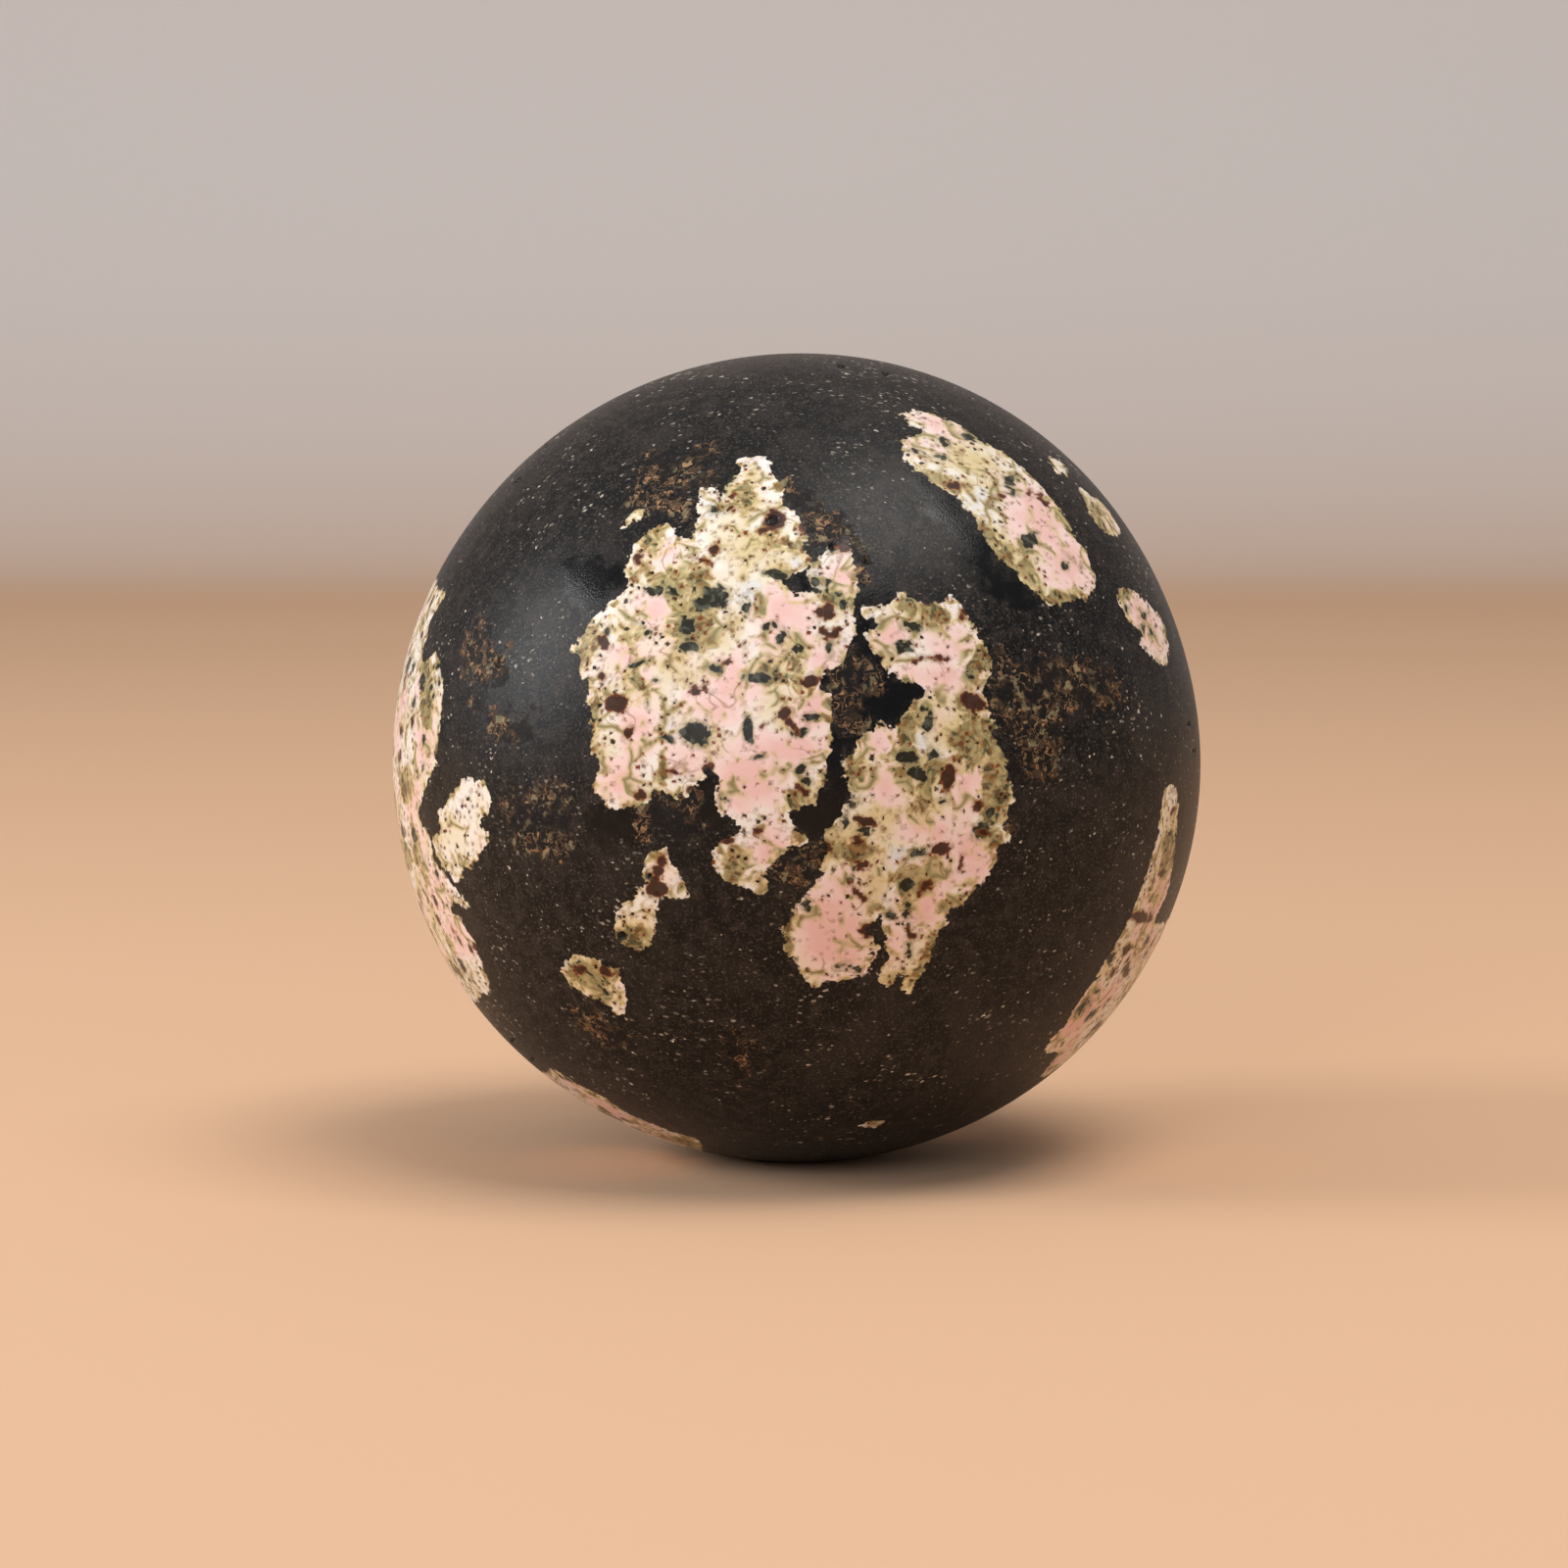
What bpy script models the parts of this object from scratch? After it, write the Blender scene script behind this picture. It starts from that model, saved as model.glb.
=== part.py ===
"""Rhodonite ball: one polished stone at real size, in metres, +Z up.

The stone is pink rhodonite in black manganese oxide, ground to a ball by hand and
polished. The pink patches are colour in the stone and lie flush, so the solid is the
ground ball alone: nearly round, with broad swells and dips a fifth of a millimetre
deep that hand grinding leaves, and a small flat ground underneath, on which it stands.
The origin is on that flat, under the middle of the ball.
"""

import math
from typing import NamedTuple

import bmesh
import bpy
from mathutils import Matrix, Vector

DIAMETER = 0.060
FLAT_DIAMETER = 0.009
FACET_LEVEL = 5  # icosphere level: 5,120 faces, each within 0.03 mm of the round surface

RADIUS = DIAMETER / 2
FLAT_RADIUS = FLAT_DIAMETER / 2
CENTRE_HEIGHT = math.sqrt(RADIUS**2 - FLAT_RADIUS**2)
FLAT_CORNERS = 32
FLAT_SHOULDER = 0.001  # the width of the even band of faces round the flat

STONE_NAME = "rhodonite_ball"
STONE_COLOUR = (0.018, 0.016, 0.015, 1.0)  # the black matrix, linear
STONE_ROUGHNESS = 0.32


class GroundArea(NamedTuple):
    """A broad swell or dip in the ball, seen from its middle."""

    turn: float  # degrees round from +X towards +Y
    lift: float  # degrees above the horizon
    spread: float  # degrees from its middle to where it has faded to a third
    height: float  # metres proud of the round ball, or below it where negative


GROUND_AREAS = (
    GroundArea(turn=0, lift=68, spread=24, height=0.00014),
    GroundArea(turn=0, lift=20, spread=20, height=-0.00020),
    GroundArea(turn=0, lift=-42, spread=24, height=0.00009),
    GroundArea(turn=180, lift=-30, spread=26, height=0.00010),
    GroundArea(turn=180, lift=42, spread=20, height=-0.00006),
    GroundArea(turn=100, lift=12, spread=26, height=-0.00012),
    GroundArea(turn=60, lift=-25, spread=22, height=0.00008),
)


def outward(turn: float, lift: float) -> Vector:
    """The unit direction at these degrees round from +X and above the horizon."""
    turn = math.radians(turn)
    lift = math.radians(lift)
    level = math.cos(lift)
    return Vector((level * math.cos(turn), level * math.sin(turn), math.sin(lift)))


def ground_radius(direction: Vector) -> float:
    """How far the polished surface lies from the ball's middle in a unit direction."""
    radius = RADIUS
    for area in GROUND_AREAS:
        away = direction.angle(outward(area.turn, area.lift))
        radius += area.height * math.exp(-((away / math.radians(area.spread)) ** 2))
    return radius


def grind_ball(form: bmesh.types.BMesh) -> None:
    """Makes the nearly round ball, its middle at the height that the flat leaves it."""
    bmesh.ops.create_icosphere(form, subdivisions=FACET_LEVEL, radius=RADIUS)
    for corner in form.verts:
        direction = corner.co.normalized()
        corner.co = direction * ground_radius(direction)
    bmesh.ops.translate(form, verts=form.verts, vec=(0, 0, CENTRE_HEIGHT))


def set_under_middle(form: bmesh.types.BMesh) -> None:
    """Slides the ball level until the middle of its outline is over the origin."""
    for axis in (0, 1):
        places = [corner.co[axis] for corner in form.verts]
        middle = (min(places) + max(places)) / 2
        for corner in form.verts:
            corner.co[axis] -= middle


def open_bottom(form: bmesh.types.BMesh, reach: float) -> list[bmesh.types.BMEdge]:
    """Takes away the faces within this distance of the bottom, and gives the open rim."""
    bottom = [
        face
        for face in form.faces
        if any(
            corner.co.z < CENTRE_HEIGHT and corner.co.xy.length < reach
            for corner in face.verts
        )
    ]
    bmesh.ops.delete(form, geom=bottom, context="FACES")
    return [edge for edge in form.edges if edge.is_boundary]


def round_edge(form: bmesh.types.BMesh, radius: float, closed: bool) -> list[bmesh.types.BMEdge]:
    """Adds a level circle where the ball has this radius, filled with a face if closed."""
    height = CENTRE_HEIGHT - math.sqrt(RADIUS**2 - radius**2)
    circle = bmesh.ops.create_circle(
        form,
        cap_ends=closed,
        segments=FLAT_CORNERS,
        radius=radius,
        matrix=Matrix.Translation((0, 0, height)),
    )
    return list({edge for corner in circle["verts"] for edge in corner.link_edges})


def grind_flat(form: bmesh.types.BMesh) -> None:
    """Closes the bottom of the ball with a round flat at z = 0 and an even band round it."""
    shoulder_radius = FLAT_RADIUS + FLAT_SHOULDER
    rim = open_bottom(form, reach=shoulder_radius + FLAT_SHOULDER)
    shoulder = round_edge(form, shoulder_radius, closed=False)
    flat = round_edge(form, FLAT_RADIUS, closed=True)
    for outer, inner in ((shoulder, flat), (rim, shoulder)):
        band = bmesh.ops.bridge_loops(form, edges=outer + inner)
        bmesh.ops.triangulate(form, faces=band["faces"])
    bmesh.ops.recalc_face_normals(form, faces=form.faces)


def stone_material() -> bpy.types.Material:
    """Polished black stone, the colour of most of the ball."""
    material = bpy.data.materials.new("polished_rhodonite")
    material.use_nodes = True
    shader = material.node_tree.nodes["Principled BSDF"]
    shader.inputs["Base Color"].default_value = STONE_COLOUR
    shader.inputs["Roughness"].default_value = STONE_ROUGHNESS
    shader.inputs["Metallic"].default_value = 0.0
    return material


def build_ball() -> bpy.types.Object:
    """The whole stone, standing on its flat."""
    form = bmesh.new()
    grind_ball(form)
    set_under_middle(form)
    grind_flat(form)
    mesh = bpy.data.meshes.new(STONE_NAME)
    form.to_mesh(mesh)
    form.free()
    flat_height = 1e-6
    for face in mesh.polygons:
        face.use_smooth = face.center.z > flat_height
    mesh.materials.append(stone_material())
    ball = bpy.data.objects.new(STONE_NAME, mesh)
    bpy.context.scene.collection.objects.link(ball)
    return ball


def main() -> None:
    """Clears the scene and builds the stone."""
    for old in list(bpy.data.objects):
        bpy.data.objects.remove(old)
    build_ball()


main()
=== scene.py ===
"""Looks for the rhodonite ball: the polished stone, its markings, and a plain studio.

The stone is one piece of black manganese oxide with patches of pink rhodonite in it,
ground to a ball by hand and polished. Every marking is colour in the stone and lies
flush; only the pits and the open, spongy brown areas are cut into its surface.

Places on the ball are millimetres right and up of its middle, as someone sees them who
looks at it from one side. Lengths are millimetres until a mesh is finished.
"""

import logging
import math
from dataclasses import dataclass, field
from enum import Enum
from typing import NamedTuple

import bmesh
import bpy
import numpy as np
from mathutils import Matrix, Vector, noise


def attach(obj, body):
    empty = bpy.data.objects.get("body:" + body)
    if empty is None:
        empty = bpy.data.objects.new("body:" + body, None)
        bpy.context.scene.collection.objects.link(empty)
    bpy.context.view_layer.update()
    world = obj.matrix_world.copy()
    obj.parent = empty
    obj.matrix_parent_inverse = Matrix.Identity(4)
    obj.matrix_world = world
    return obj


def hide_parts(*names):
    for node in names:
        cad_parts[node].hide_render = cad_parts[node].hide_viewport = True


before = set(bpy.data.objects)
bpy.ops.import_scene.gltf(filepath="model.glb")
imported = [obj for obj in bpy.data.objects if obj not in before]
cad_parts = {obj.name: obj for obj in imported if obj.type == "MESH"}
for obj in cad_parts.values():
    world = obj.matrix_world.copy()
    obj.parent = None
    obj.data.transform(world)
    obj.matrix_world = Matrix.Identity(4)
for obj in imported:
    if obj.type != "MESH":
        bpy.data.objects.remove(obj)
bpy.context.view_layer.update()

LOG = logging.getLogger("rhodonite")
MM = 0.001

RADIUS = 30.0
FLAT_RADIUS = 4.5
MIDDLE_HEIGHT = math.sqrt(RADIUS**2 - FLAT_RADIUS**2)
EYE_DISTANCE = 400.0  # from the ball's middle to whoever looks at it

Places = tuple[tuple[float, float], ...]


class Stain(Enum):
    """What marks the stone. Each is a mesh attribute: millimetres inside the marking's edge."""

    PALE = "pale"  # the rhodonite patches
    PINK = "pink"  # their pink hearts
    ICE = "ice"  # bluish white in them
    OCHRE = "ochre"  # yellow in them
    OLIVE = "olive"  # green-grey in them
    BLACK = "black"  # oxide grains in them
    RUST = "rust"  # maroon and brown grains in them
    GLASSY = "glassy"  # dense, blue-black oxide with no grain
    VUGGY = "vuggy"  # brown, spongy oxide
    PIT = "pit"  # holes


class Oval(NamedTuple):
    """An oval spot."""

    right: float
    up: float
    wide: float
    tall: float
    lean: float = 0.0  # degrees anticlockwise


class Streak(NamedTuple):
    """A line of one width through some places."""

    width: float
    places: Places


class Swell(NamedTuple):
    """A broad swell or dip that hand grinding leaves, seen from the ball's middle."""

    turn: float  # degrees round from +X towards +Y
    lift: float  # degrees above the horizon
    spread: float  # degrees from its middle to where it has faded to a third
    height: float  # millimetres proud of the round ball, or below it where negative


SWELLS = (
    Swell(turn=0, lift=68, spread=24, height=0.14),
    Swell(turn=0, lift=20, spread=20, height=-0.20),
    Swell(turn=0, lift=-42, spread=24, height=0.09),
    Swell(turn=180, lift=-30, spread=26, height=0.10),
    Swell(turn=180, lift=42, spread=20, height=-0.06),
    Swell(turn=100, lift=12, spread=26, height=-0.12),
    Swell(turn=60, lift=-25, spread=22, height=0.08),
)


def outward(turn: float, lift: float) -> np.ndarray:
    """The unit direction at these degrees round from +X and above the horizon."""
    turn, lift = math.radians(turn), math.radians(lift)
    level = math.cos(lift)
    return np.array((level * math.cos(turn), level * math.sin(turn), math.sin(lift)))


def to_unit(rows: np.ndarray) -> np.ndarray:
    """The rows as vectors of length one."""
    return rows / np.linalg.norm(rows, axis=-1, keepdims=True)


@dataclass(frozen=True)
class Side:
    """One side that the ball is looked at from."""

    turn: float  # degrees round from +X towards +Y
    lift: float = 0.0  # degrees above the horizon

    @property
    def toward(self) -> np.ndarray:
        """The direction from the ball's middle to the eye."""
        return outward(self.turn, self.lift)

    @property
    def right(self) -> np.ndarray:
        """The level direction to the right, as the eye sees it."""
        return outward(self.turn + 90, 0)

    @property
    def up(self) -> np.ndarray:
        """The direction that the eye sees as up."""
        return np.cross(self.toward, self.right)

    def seen(self, directions: np.ndarray) -> tuple[np.ndarray, np.ndarray]:
        """Where points of the ball appear.

        Args:
            directions: unit directions from the ball's middle, one in a row.

        Returns:
            Their places, one in a row, and whether each is on the near side.
        """
        points = directions * RADIUS
        near = points @ self.toward
        nearer = EYE_DISTANCE / (EYE_DISTANCE - near)
        places = np.stack((points @ self.right, points @ self.up), axis=1) * nearer[:, None]
        return places, near > 0

    def onto(self, places: Places | np.ndarray) -> np.ndarray:
        """The unit directions of the points of the ball that appear at these places."""
        places = np.array(places)
        eye = self.toward * EYE_DISTANCE
        sight = places[:, :1] * self.right + places[:, 1:] * self.up - eye
        length = (sight**2).sum(axis=1)
        half = sight @ eye
        square = np.maximum(half**2 - length * (eye @ eye - RADIUS**2), 0.0)
        reach = (-half - np.sqrt(square)) / length
        return to_unit(eye + reach[:, None] * sight)


FRONT = Side(turn=-90, lift=5.01)
RIGHT = Side(turn=0)
BACK = Side(turn=90)
LEFT = Side(turn=180)
TOP = Side(turn=-90, lift=90)
UNDER = Side(turn=-90, lift=-90)


def rounded_loop(corners: np.ndarray, steps: int = 3) -> np.ndarray:
    """A smooth closed curve through the corners.

    Args:
        corners: the places that the curve passes, one in a row.
        steps: how many points the curve has for each corner.

    Returns:
        The curve's points, one in a row.
    """
    before, after, next_after = (np.roll(corners, shift, axis=0) for shift in (1, -1, -2))
    curve = []
    for step in range(steps):
        t = step / steps
        curve.append(
            corners
            + 0.5 * t * (after - before)
            + 0.5 * t**2 * (2 * before - 5 * corners + 4 * after - next_after)
            + 0.5 * t**3 * (3 * corners - before - 3 * after + next_after)
        )
    return np.stack(curve, axis=1).reshape(-1, 2)


def ragged(places: np.ndarray, draw: np.random.Generator, share: float = 0.17) -> np.ndarray:
    """An open outline whose stretches are bent twice over, by a drawn share of their length."""
    for _ in range(2):
        run = np.diff(places, axis=0)
        aside = run[:, ::-1] * (-1, 1) * draw.uniform(-share, share, (len(run), 1))
        between = places[:-1] + run / 2 + aside
        places = np.concatenate((np.stack((places[:-1], between), axis=1).reshape(-1, 2), places[-1:]))
    return places


def line_distance(places: np.ndarray, start: np.ndarray, end: np.ndarray) -> np.ndarray:
    """How far each place is from a straight line between two others."""
    run = end - start
    share = np.clip((places - start) @ run / max(run @ run, 1e-12), 0.0, 1.0)
    return np.linalg.norm(places - start - share[:, None] * run, axis=1)


def loop_depth(places: np.ndarray, loop: np.ndarray) -> np.ndarray:
    """How far each place is inside a closed loop, negative outside it."""
    nearest = np.full(len(places), np.inf)
    inside = np.zeros(len(places), bool)
    across, along = places.T
    for start, end in zip(loop, np.roll(loop, -1, axis=0)):
        nearest = np.minimum(nearest, line_distance(places, start, end))
        if start[1] != end[1]:
            slope = (end[0] - start[0]) / (end[1] - start[1])
            spans = (start[1] > along) != (end[1] > along)
            inside ^= spans & (across < start[0] + (along - start[1]) * slope)
    return np.where(inside, nearest, -nearest)


def oval_depth(places: np.ndarray, oval: Oval) -> np.ndarray:
    """About how far each place is inside an oval, negative outside it."""
    lean = math.radians(oval.lean)
    away = places - (oval.right, oval.up)
    along = away @ (math.cos(lean), math.sin(lean)) / (oval.wide / 2)
    across = away @ (-math.sin(lean), math.cos(lean)) / (oval.tall / 2)
    return (1 - np.hypot(along, across)) * math.sqrt(oval.wide * oval.tall) / 2


def streak_depth(places: np.ndarray, streak: Streak) -> np.ndarray:
    """How far each place is inside a streak, negative outside it."""
    stops = np.array(streak.places)
    lines = [line_distance(places, start, end) for start, end in zip(stops, stops[1:])]
    return streak.width / 2 - np.min(lines, axis=0)


class Depths:
    """For some points of the ball, how far each is inside every stain."""

    FAR = 3.0  # beyond this no stain is followed

    def __init__(self, directions: np.ndarray) -> None:
        """Starts with every point outside every stain."""
        self.directions = directions
        self.of = {stain: np.full(len(directions), -self.FAR) for stain in Stain}

    def join(self, stain: Stain, points: np.ndarray, depths: np.ndarray) -> None:
        """Widens a stain by a marking, whose depths are given at some of the points."""
        self.of[stain][points] = np.maximum(self.of[stain][points], depths)

    def mark(
        self,
        stain: Stain,
        places: np.ndarray,
        points: np.ndarray,
        spots: tuple[Oval | Streak, ...],
    ) -> None:
        """Widens a stain by spots.

        Args:
            stain: the stain.
            places: where the points appear, one in a row.
            points: which of the ball's points they are.
            spots: the ovals and streaks.
        """
        for spot in spots:
            if isinstance(spot, Oval):
                depths = oval_depth(places, spot)
            else:
                depths = streak_depth(places, spot)
            self.join(stain, points, depths)


@dataclass(frozen=True)
class Speckling:
    """How a patch that shows from no one side is filled, by stains in a drawn order."""

    stain: Stain
    share: float  # spots in a square millimetre
    smallest: float
    largest: float
    stretch: float = 1.6  # the most that a spot is longer than it is wide


SPECKLINGS = (
    Speckling(Stain.PINK, share=0.060, smallest=1.8, largest=5.2),
    Speckling(Stain.ICE, share=0.030, smallest=0.9, largest=2.0),
    Speckling(Stain.OCHRE, share=0.045, smallest=1.8, largest=4.6, stretch=2.2),
    Speckling(Stain.OLIVE, share=0.050, smallest=0.9, largest=3.2, stretch=3.0),
    Speckling(Stain.BLACK, share=0.085, smallest=0.35, largest=1.3),
    Speckling(Stain.RUST, share=0.065, smallest=0.35, largest=1.1),
)


@dataclass(frozen=True)
class Patch:
    """One closed marking, outlined in runs that may be seen from different sides."""

    stain: Stain
    runs: tuple[tuple[Side, Places], ...]
    seed: int = 0  # above nought, it is filled and its hidden outline made ragged from it

    def mark(self, depths: Depths) -> None:
        """Adds the patch, and what fills it, to the depths."""
        draw = np.random.default_rng(self.seed)
        edge = np.concatenate(
            [
                side.onto(ragged(np.array(places), draw) if self.seed and side != FRONT else places)
                for side, places in self.runs
            ]
        )
        middle = to_unit(edge.mean(axis=0))
        first = to_unit(np.cross(middle, (0.3, 0.2, 0.93)))
        second = np.cross(middle, first)

        def flatten(directions: np.ndarray) -> np.ndarray:
            """Their places on a sheet laid on the ball over the patch's middle."""
            height = np.clip(directions @ middle, -1.0, 1.0)[:, None]
            angle = np.arccos(height)
            level = to_unit(directions - height * middle + 1e-9 * first)
            return RADIUS * angle * np.stack((level @ first, level @ second), axis=1)

        loop = rounded_loop(flatten(edge))
        reach = np.linalg.norm(loop, axis=1).max() + Depths.FAR
        points = np.flatnonzero(depths.directions @ middle > math.cos(reach / RADIUS))
        places = flatten(depths.directions[points])
        depths.join(self.stain, points, loop_depth(places, loop))
        if self.seed and self.stain is Stain.PALE:
            self.fill(loop, places, points, depths)

    def fill(
        self, loop: np.ndarray, places: np.ndarray, points: np.ndarray, depths: Depths
    ) -> None:
        """Strews the specklings over the patch.

        Args:
            loop: the patch's edge on its own sheet.
            places: where the points lie on that sheet.
            points: which of the ball's points they are.
            depths: what the spots are added to.
        """
        draw = np.random.default_rng(self.seed)
        low, high = loop.min(axis=0), loop.max(axis=0)
        for kind in SPECKLINGS:
            count = round(kind.share * float(np.prod(high - low)))
            centres = draw.uniform(low, high, (count, 2))
            sizes = draw.uniform(0.0, 1.0, count) ** 2 * (kind.largest - kind.smallest)
            stretches = np.sqrt(draw.uniform(1.0, kind.stretch, count))
            leans = draw.uniform(0.0, 180.0, count)
            kept = loop_depth(centres, loop) > 0.2
            spots = tuple(
                Oval(*centre, (kind.smallest + size) * stretch, (kind.smallest + size) / stretch, lean)
                for centre, size, stretch, lean, keep in zip(centres, sizes, stretches, leans, kept)
                if keep
            )
            depths.mark(kind.stain, places, points, spots)


def spots_of(*rows: tuple[float, ...]) -> tuple[Oval, ...]:
    """Ovals from rows of right, up, wide, tall and, where it has one, lean."""
    return tuple(Oval(*row) for row in rows)


GREAT_PATCH = (
    (-4.4, 22.3), (-3.3, 22.5), (-2.1, 22.2), (-1.9, 21.5), (-1.1, 20.1), (-0.9, 19.1), (-0.3, 18.2),
    (0.4, 17.6), (0.8, 16.7), (0.5, 15.9), (1.1, 14.7), (0.5, 14.1), (-0.5, 13.6), (-1.1, 13.3),
    (-0.3, 12.6), (0.9, 12.5), (1.1, 13.3), (1, 14.4), (1.8, 15), (2.7, 16), (3.6, 16.1), (4.2, 15.5),
    (4.5, 14.3), (4.6, 13.2), (4.8, 12.5), (4.1, 11.5), (4.3, 10.5), (4.3, 9.2), (4, 8.2), (3.2, 7.1),
    (2, 6.4), (1.8, 5.5), (2.4, 4.7), (2.6, 3.6), (2.5, 1.8), (2.3, 0.3), (2, -0.8), (2.2, -1.3),
    (1.8, -2.2), (1.3, -3.4), (0.5, -3.8), (-0.5, -4), (-0.1, -4.9), (0.2, -5.6), (0.8, -6), (0.4, -6.4),
    (-0.9, -7), (-1.7, -7.8), (-2.6, -8.9), (-2.2, -9.6), (-2.7, -10.1), (-3.7, -9.7), (-4.7, -9.2),
    (-5.7, -8.9), (-6.1, -8), (-6.2, -7), (-5.7, -6.3), (-4.7, -5.8), (-3.8, -5.5), (-4.6, -4.7),
    (-5.4, -4.3), (-5.9, -3.4), (-6, -2.6), (-5.7, -2), (-6.2, -1.2), (-6.6, -0.9), (-7.1, -1.6),
    (-7.9, -2.5), (-8.8, -2.8), (-9.7, -2.6), (-10.6, -2.3), (-11, -3.3), (-12.2, -3.6), (-13.2, -3.7),
    (-14.1, -3.4), (-14.8, -2.6), (-15, -1.8), (-14.8, -0.4), (-15.2, 1), (-15.2, 3.8), (-15.7, 4.2),
    (-15.5, 5.4), (-16, 6.4), (-16.2, 7.3), (-16.8, 7.9), (-16.1, 9), (-15.4, 10.1), (-14.6, 11.1),
    (-13.6, 11.8), (-12.5, 13), (-12.9, 14.3), (-12.5, 15.1), (-11.9, 16.2), (-10.8, 17.1), (-9.7, 17.4),
    (-9, 17), (-9, 16.4), (-8.2, 16.3), (-7.6, 16.9), (-7.3, 17.7), (-7.6, 18.7), (-7.1, 19.3),
    (-7.3, 19.9), (-6.6, 20.1), (-5.7, 19.9), (-5.8, 19), (-5.4, 20), (-5, 20.8), (-4.1, 21.4),
)

NEIGHBOUR_PATCH = (
    (4.8, 11.2), (5.6, 11.4), (6.6, 11.3), (7.5, 11.8), (7.8, 12.3), (8.6, 12), (9.9, 11.4), (10.9, 11.6),
    (11.6, 12), (12.5, 11.2), (12.7, 10.4), (13.7, 9), (14.2, 8), (14.6, 7), (14.1, 6), (13.9, 5),
    (14.4, 3.9), (14.4, 3.1), (14.8, 2.4), (14.7, 1.5), (15.5, 0.7), (15.6, -0.4), (15.4, -1),
    (15.9, -1.9), (16.1, -3.2), (15.7, -4.2), (15.3, -5), (15.8, -5.7), (15.6, -6.4), (15, -6.7),
    (14.7, -7.6), (14.2, -8.6), (13.4, -9.6), (12.4, -10.8), (11.5, -11.4), (11.1, -12.3), (10.5, -13.1),
    (10, -14.4), (9.7, -15.5), (9.1, -16.5), (8.7, -17), (8.6, -17.6), (8, -17.2), (7.9, -16.1),
    (7.3, -16.4), (6.7, -17), (6.1, -16.5), (6.5, -15.4), (7, -14.7), (6.7, -13.9), (6.3, -12.5),
    (6.4, -11.7), (5.9, -11.4), (5.7, -12.2), (5.2, -12.7), (5.7, -13.3), (6.1, -14.1), (5.6, -15.1),
    (5.3, -15.9), (4.5, -16.1), (3.5, -16.4), (2.7, -16.6), (1.4, -17), (0.7, -16.6), (0.3, -15.8),
    (-0.2, -15), (-0.9, -14.3), (-0.9, -13), (-0.5, -12), (-0.1, -11.2), (0.4, -10.5), (1.3, -9.6),
    (1.6, -8.6), (2.1, -7.4), (2.2, -5.8), (2.4, -5.1), (3.2, -4.6), (3.5, -3.7), (4, -3.1), (3.7, -1.7),
    (3.5, -0.9), (3.5, -0.1), (4.3, 0.7), (4.6, 1.5), (5.3, 2), (6.1, 2.6), (7.2, 2.4), (7.7, 3),
    (8.3, 3.6), (9, 4.2), (9.5, 4.7), (9.3, 5.3), (8.8, 5.7), (8, 5.8), (7.4, 6.1), (6.5, 6.9), (5.6, 8.2),
    (5.1, 9), (5.1, 9.4), (5.6, 9.5), (6.1, 10), (5.8, 10.6), (5.2, 10.7),
)

LONG_PATCH = (
    (7.9, 25.6), (9.3, 25.8), (10.8, 25.3), (12.2, 24.7), (13, 24.2), (14.2, 23.3), (15.3, 22.7),
    (16.4, 21.9), (17.4, 21), (18.3, 20.1), (19.1, 19.1), (19.9, 17.9), (20.5, 16.9), (21.2, 15.8),
    (21.7, 14.7), (22.2, 13.5), (22.2, 12.6), (21.5, 11.8), (20.7, 11.8), (19.9, 11.5), (19, 11.5),
    (18.3, 12), (17.6, 12.6), (16.9, 13.3), (16.3, 13.9), (15.3, 14.5), (14.7, 15.4), (14.2, 16.2),
    (13.7, 17.1), (13.2, 17.9), (12.6, 18.6), (11.8, 19.5), (10.4, 20.4), (9.3, 21.2), (8.4, 21.8),
    (7.9, 22.2), (8.1, 22.8), (7.9, 23.6), (8.8, 23.9), (9.3, 24.4), (8.3, 24.8),
)

LEFT_PATCH_FRONT = (
    (-26.8, 12.7), (-26.2, 12.5), (-26.8, 11.1), (-27.3, 10.4), (-27.5, 9.4), (-27.9, 7.6), (-27.5, 7.5),
    (-26.8, 7.7), (-26.4, 6.1), (-26.5, 3.6), (-26.7, 0.7), (-27.1, -0.8), (-27.8, -2.3), (-28.1, -3.9),
    (-28, -4.8), (-27.3, -5.9), (-26.9, -7.7), (-26.1, -8.7), (-25.2, -9.9), (-24.4, -11.1),
    (-25.6, -10.7), (-25.6, -11.4), (-25, -12), (-24.3, -13.2), (-23.8, -13.9), (-23.5, -15.4),
    (-22.8, -17.2),
)
LEFT_PATCH_HIDDEN = (
    (6, -18.6), (1, -19.2), (-3, -17.4), (-5.2, -14), (-9, -13.2), (-11.5, -10), (-10.4, -6.5),
    (-7, -4.8), (-8.5, -1), (-11, 2.2), (-10, 5.6), (-6.4, 7.6), (-4.6, 11), (-1.2, 14.4), (3, 14.6),
)

LEFT_LOBE = (
    (-25.1, -1.9), (-24.6, -1.5), (-23.4, -1.7), (-23.2, -2.3), (-22.8, -2.8), (-22.8, -3.5),
    (-23.4, -4.5), (-23.8, -5), (-23.1, -5.5), (-23.2, -6.4), (-23.8, -7.7), (-24.3, -8.2), (-24.8, -8),
    (-25.3, -9.2), (-25.9, -8.5), (-26.5, -7.9), (-27.1, -6.4), (-27, -5.8), (-26.5, -5.3),
    (-26.7, -4.1), (-26.3, -3.4), (-25.7, -2.6),
)

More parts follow.
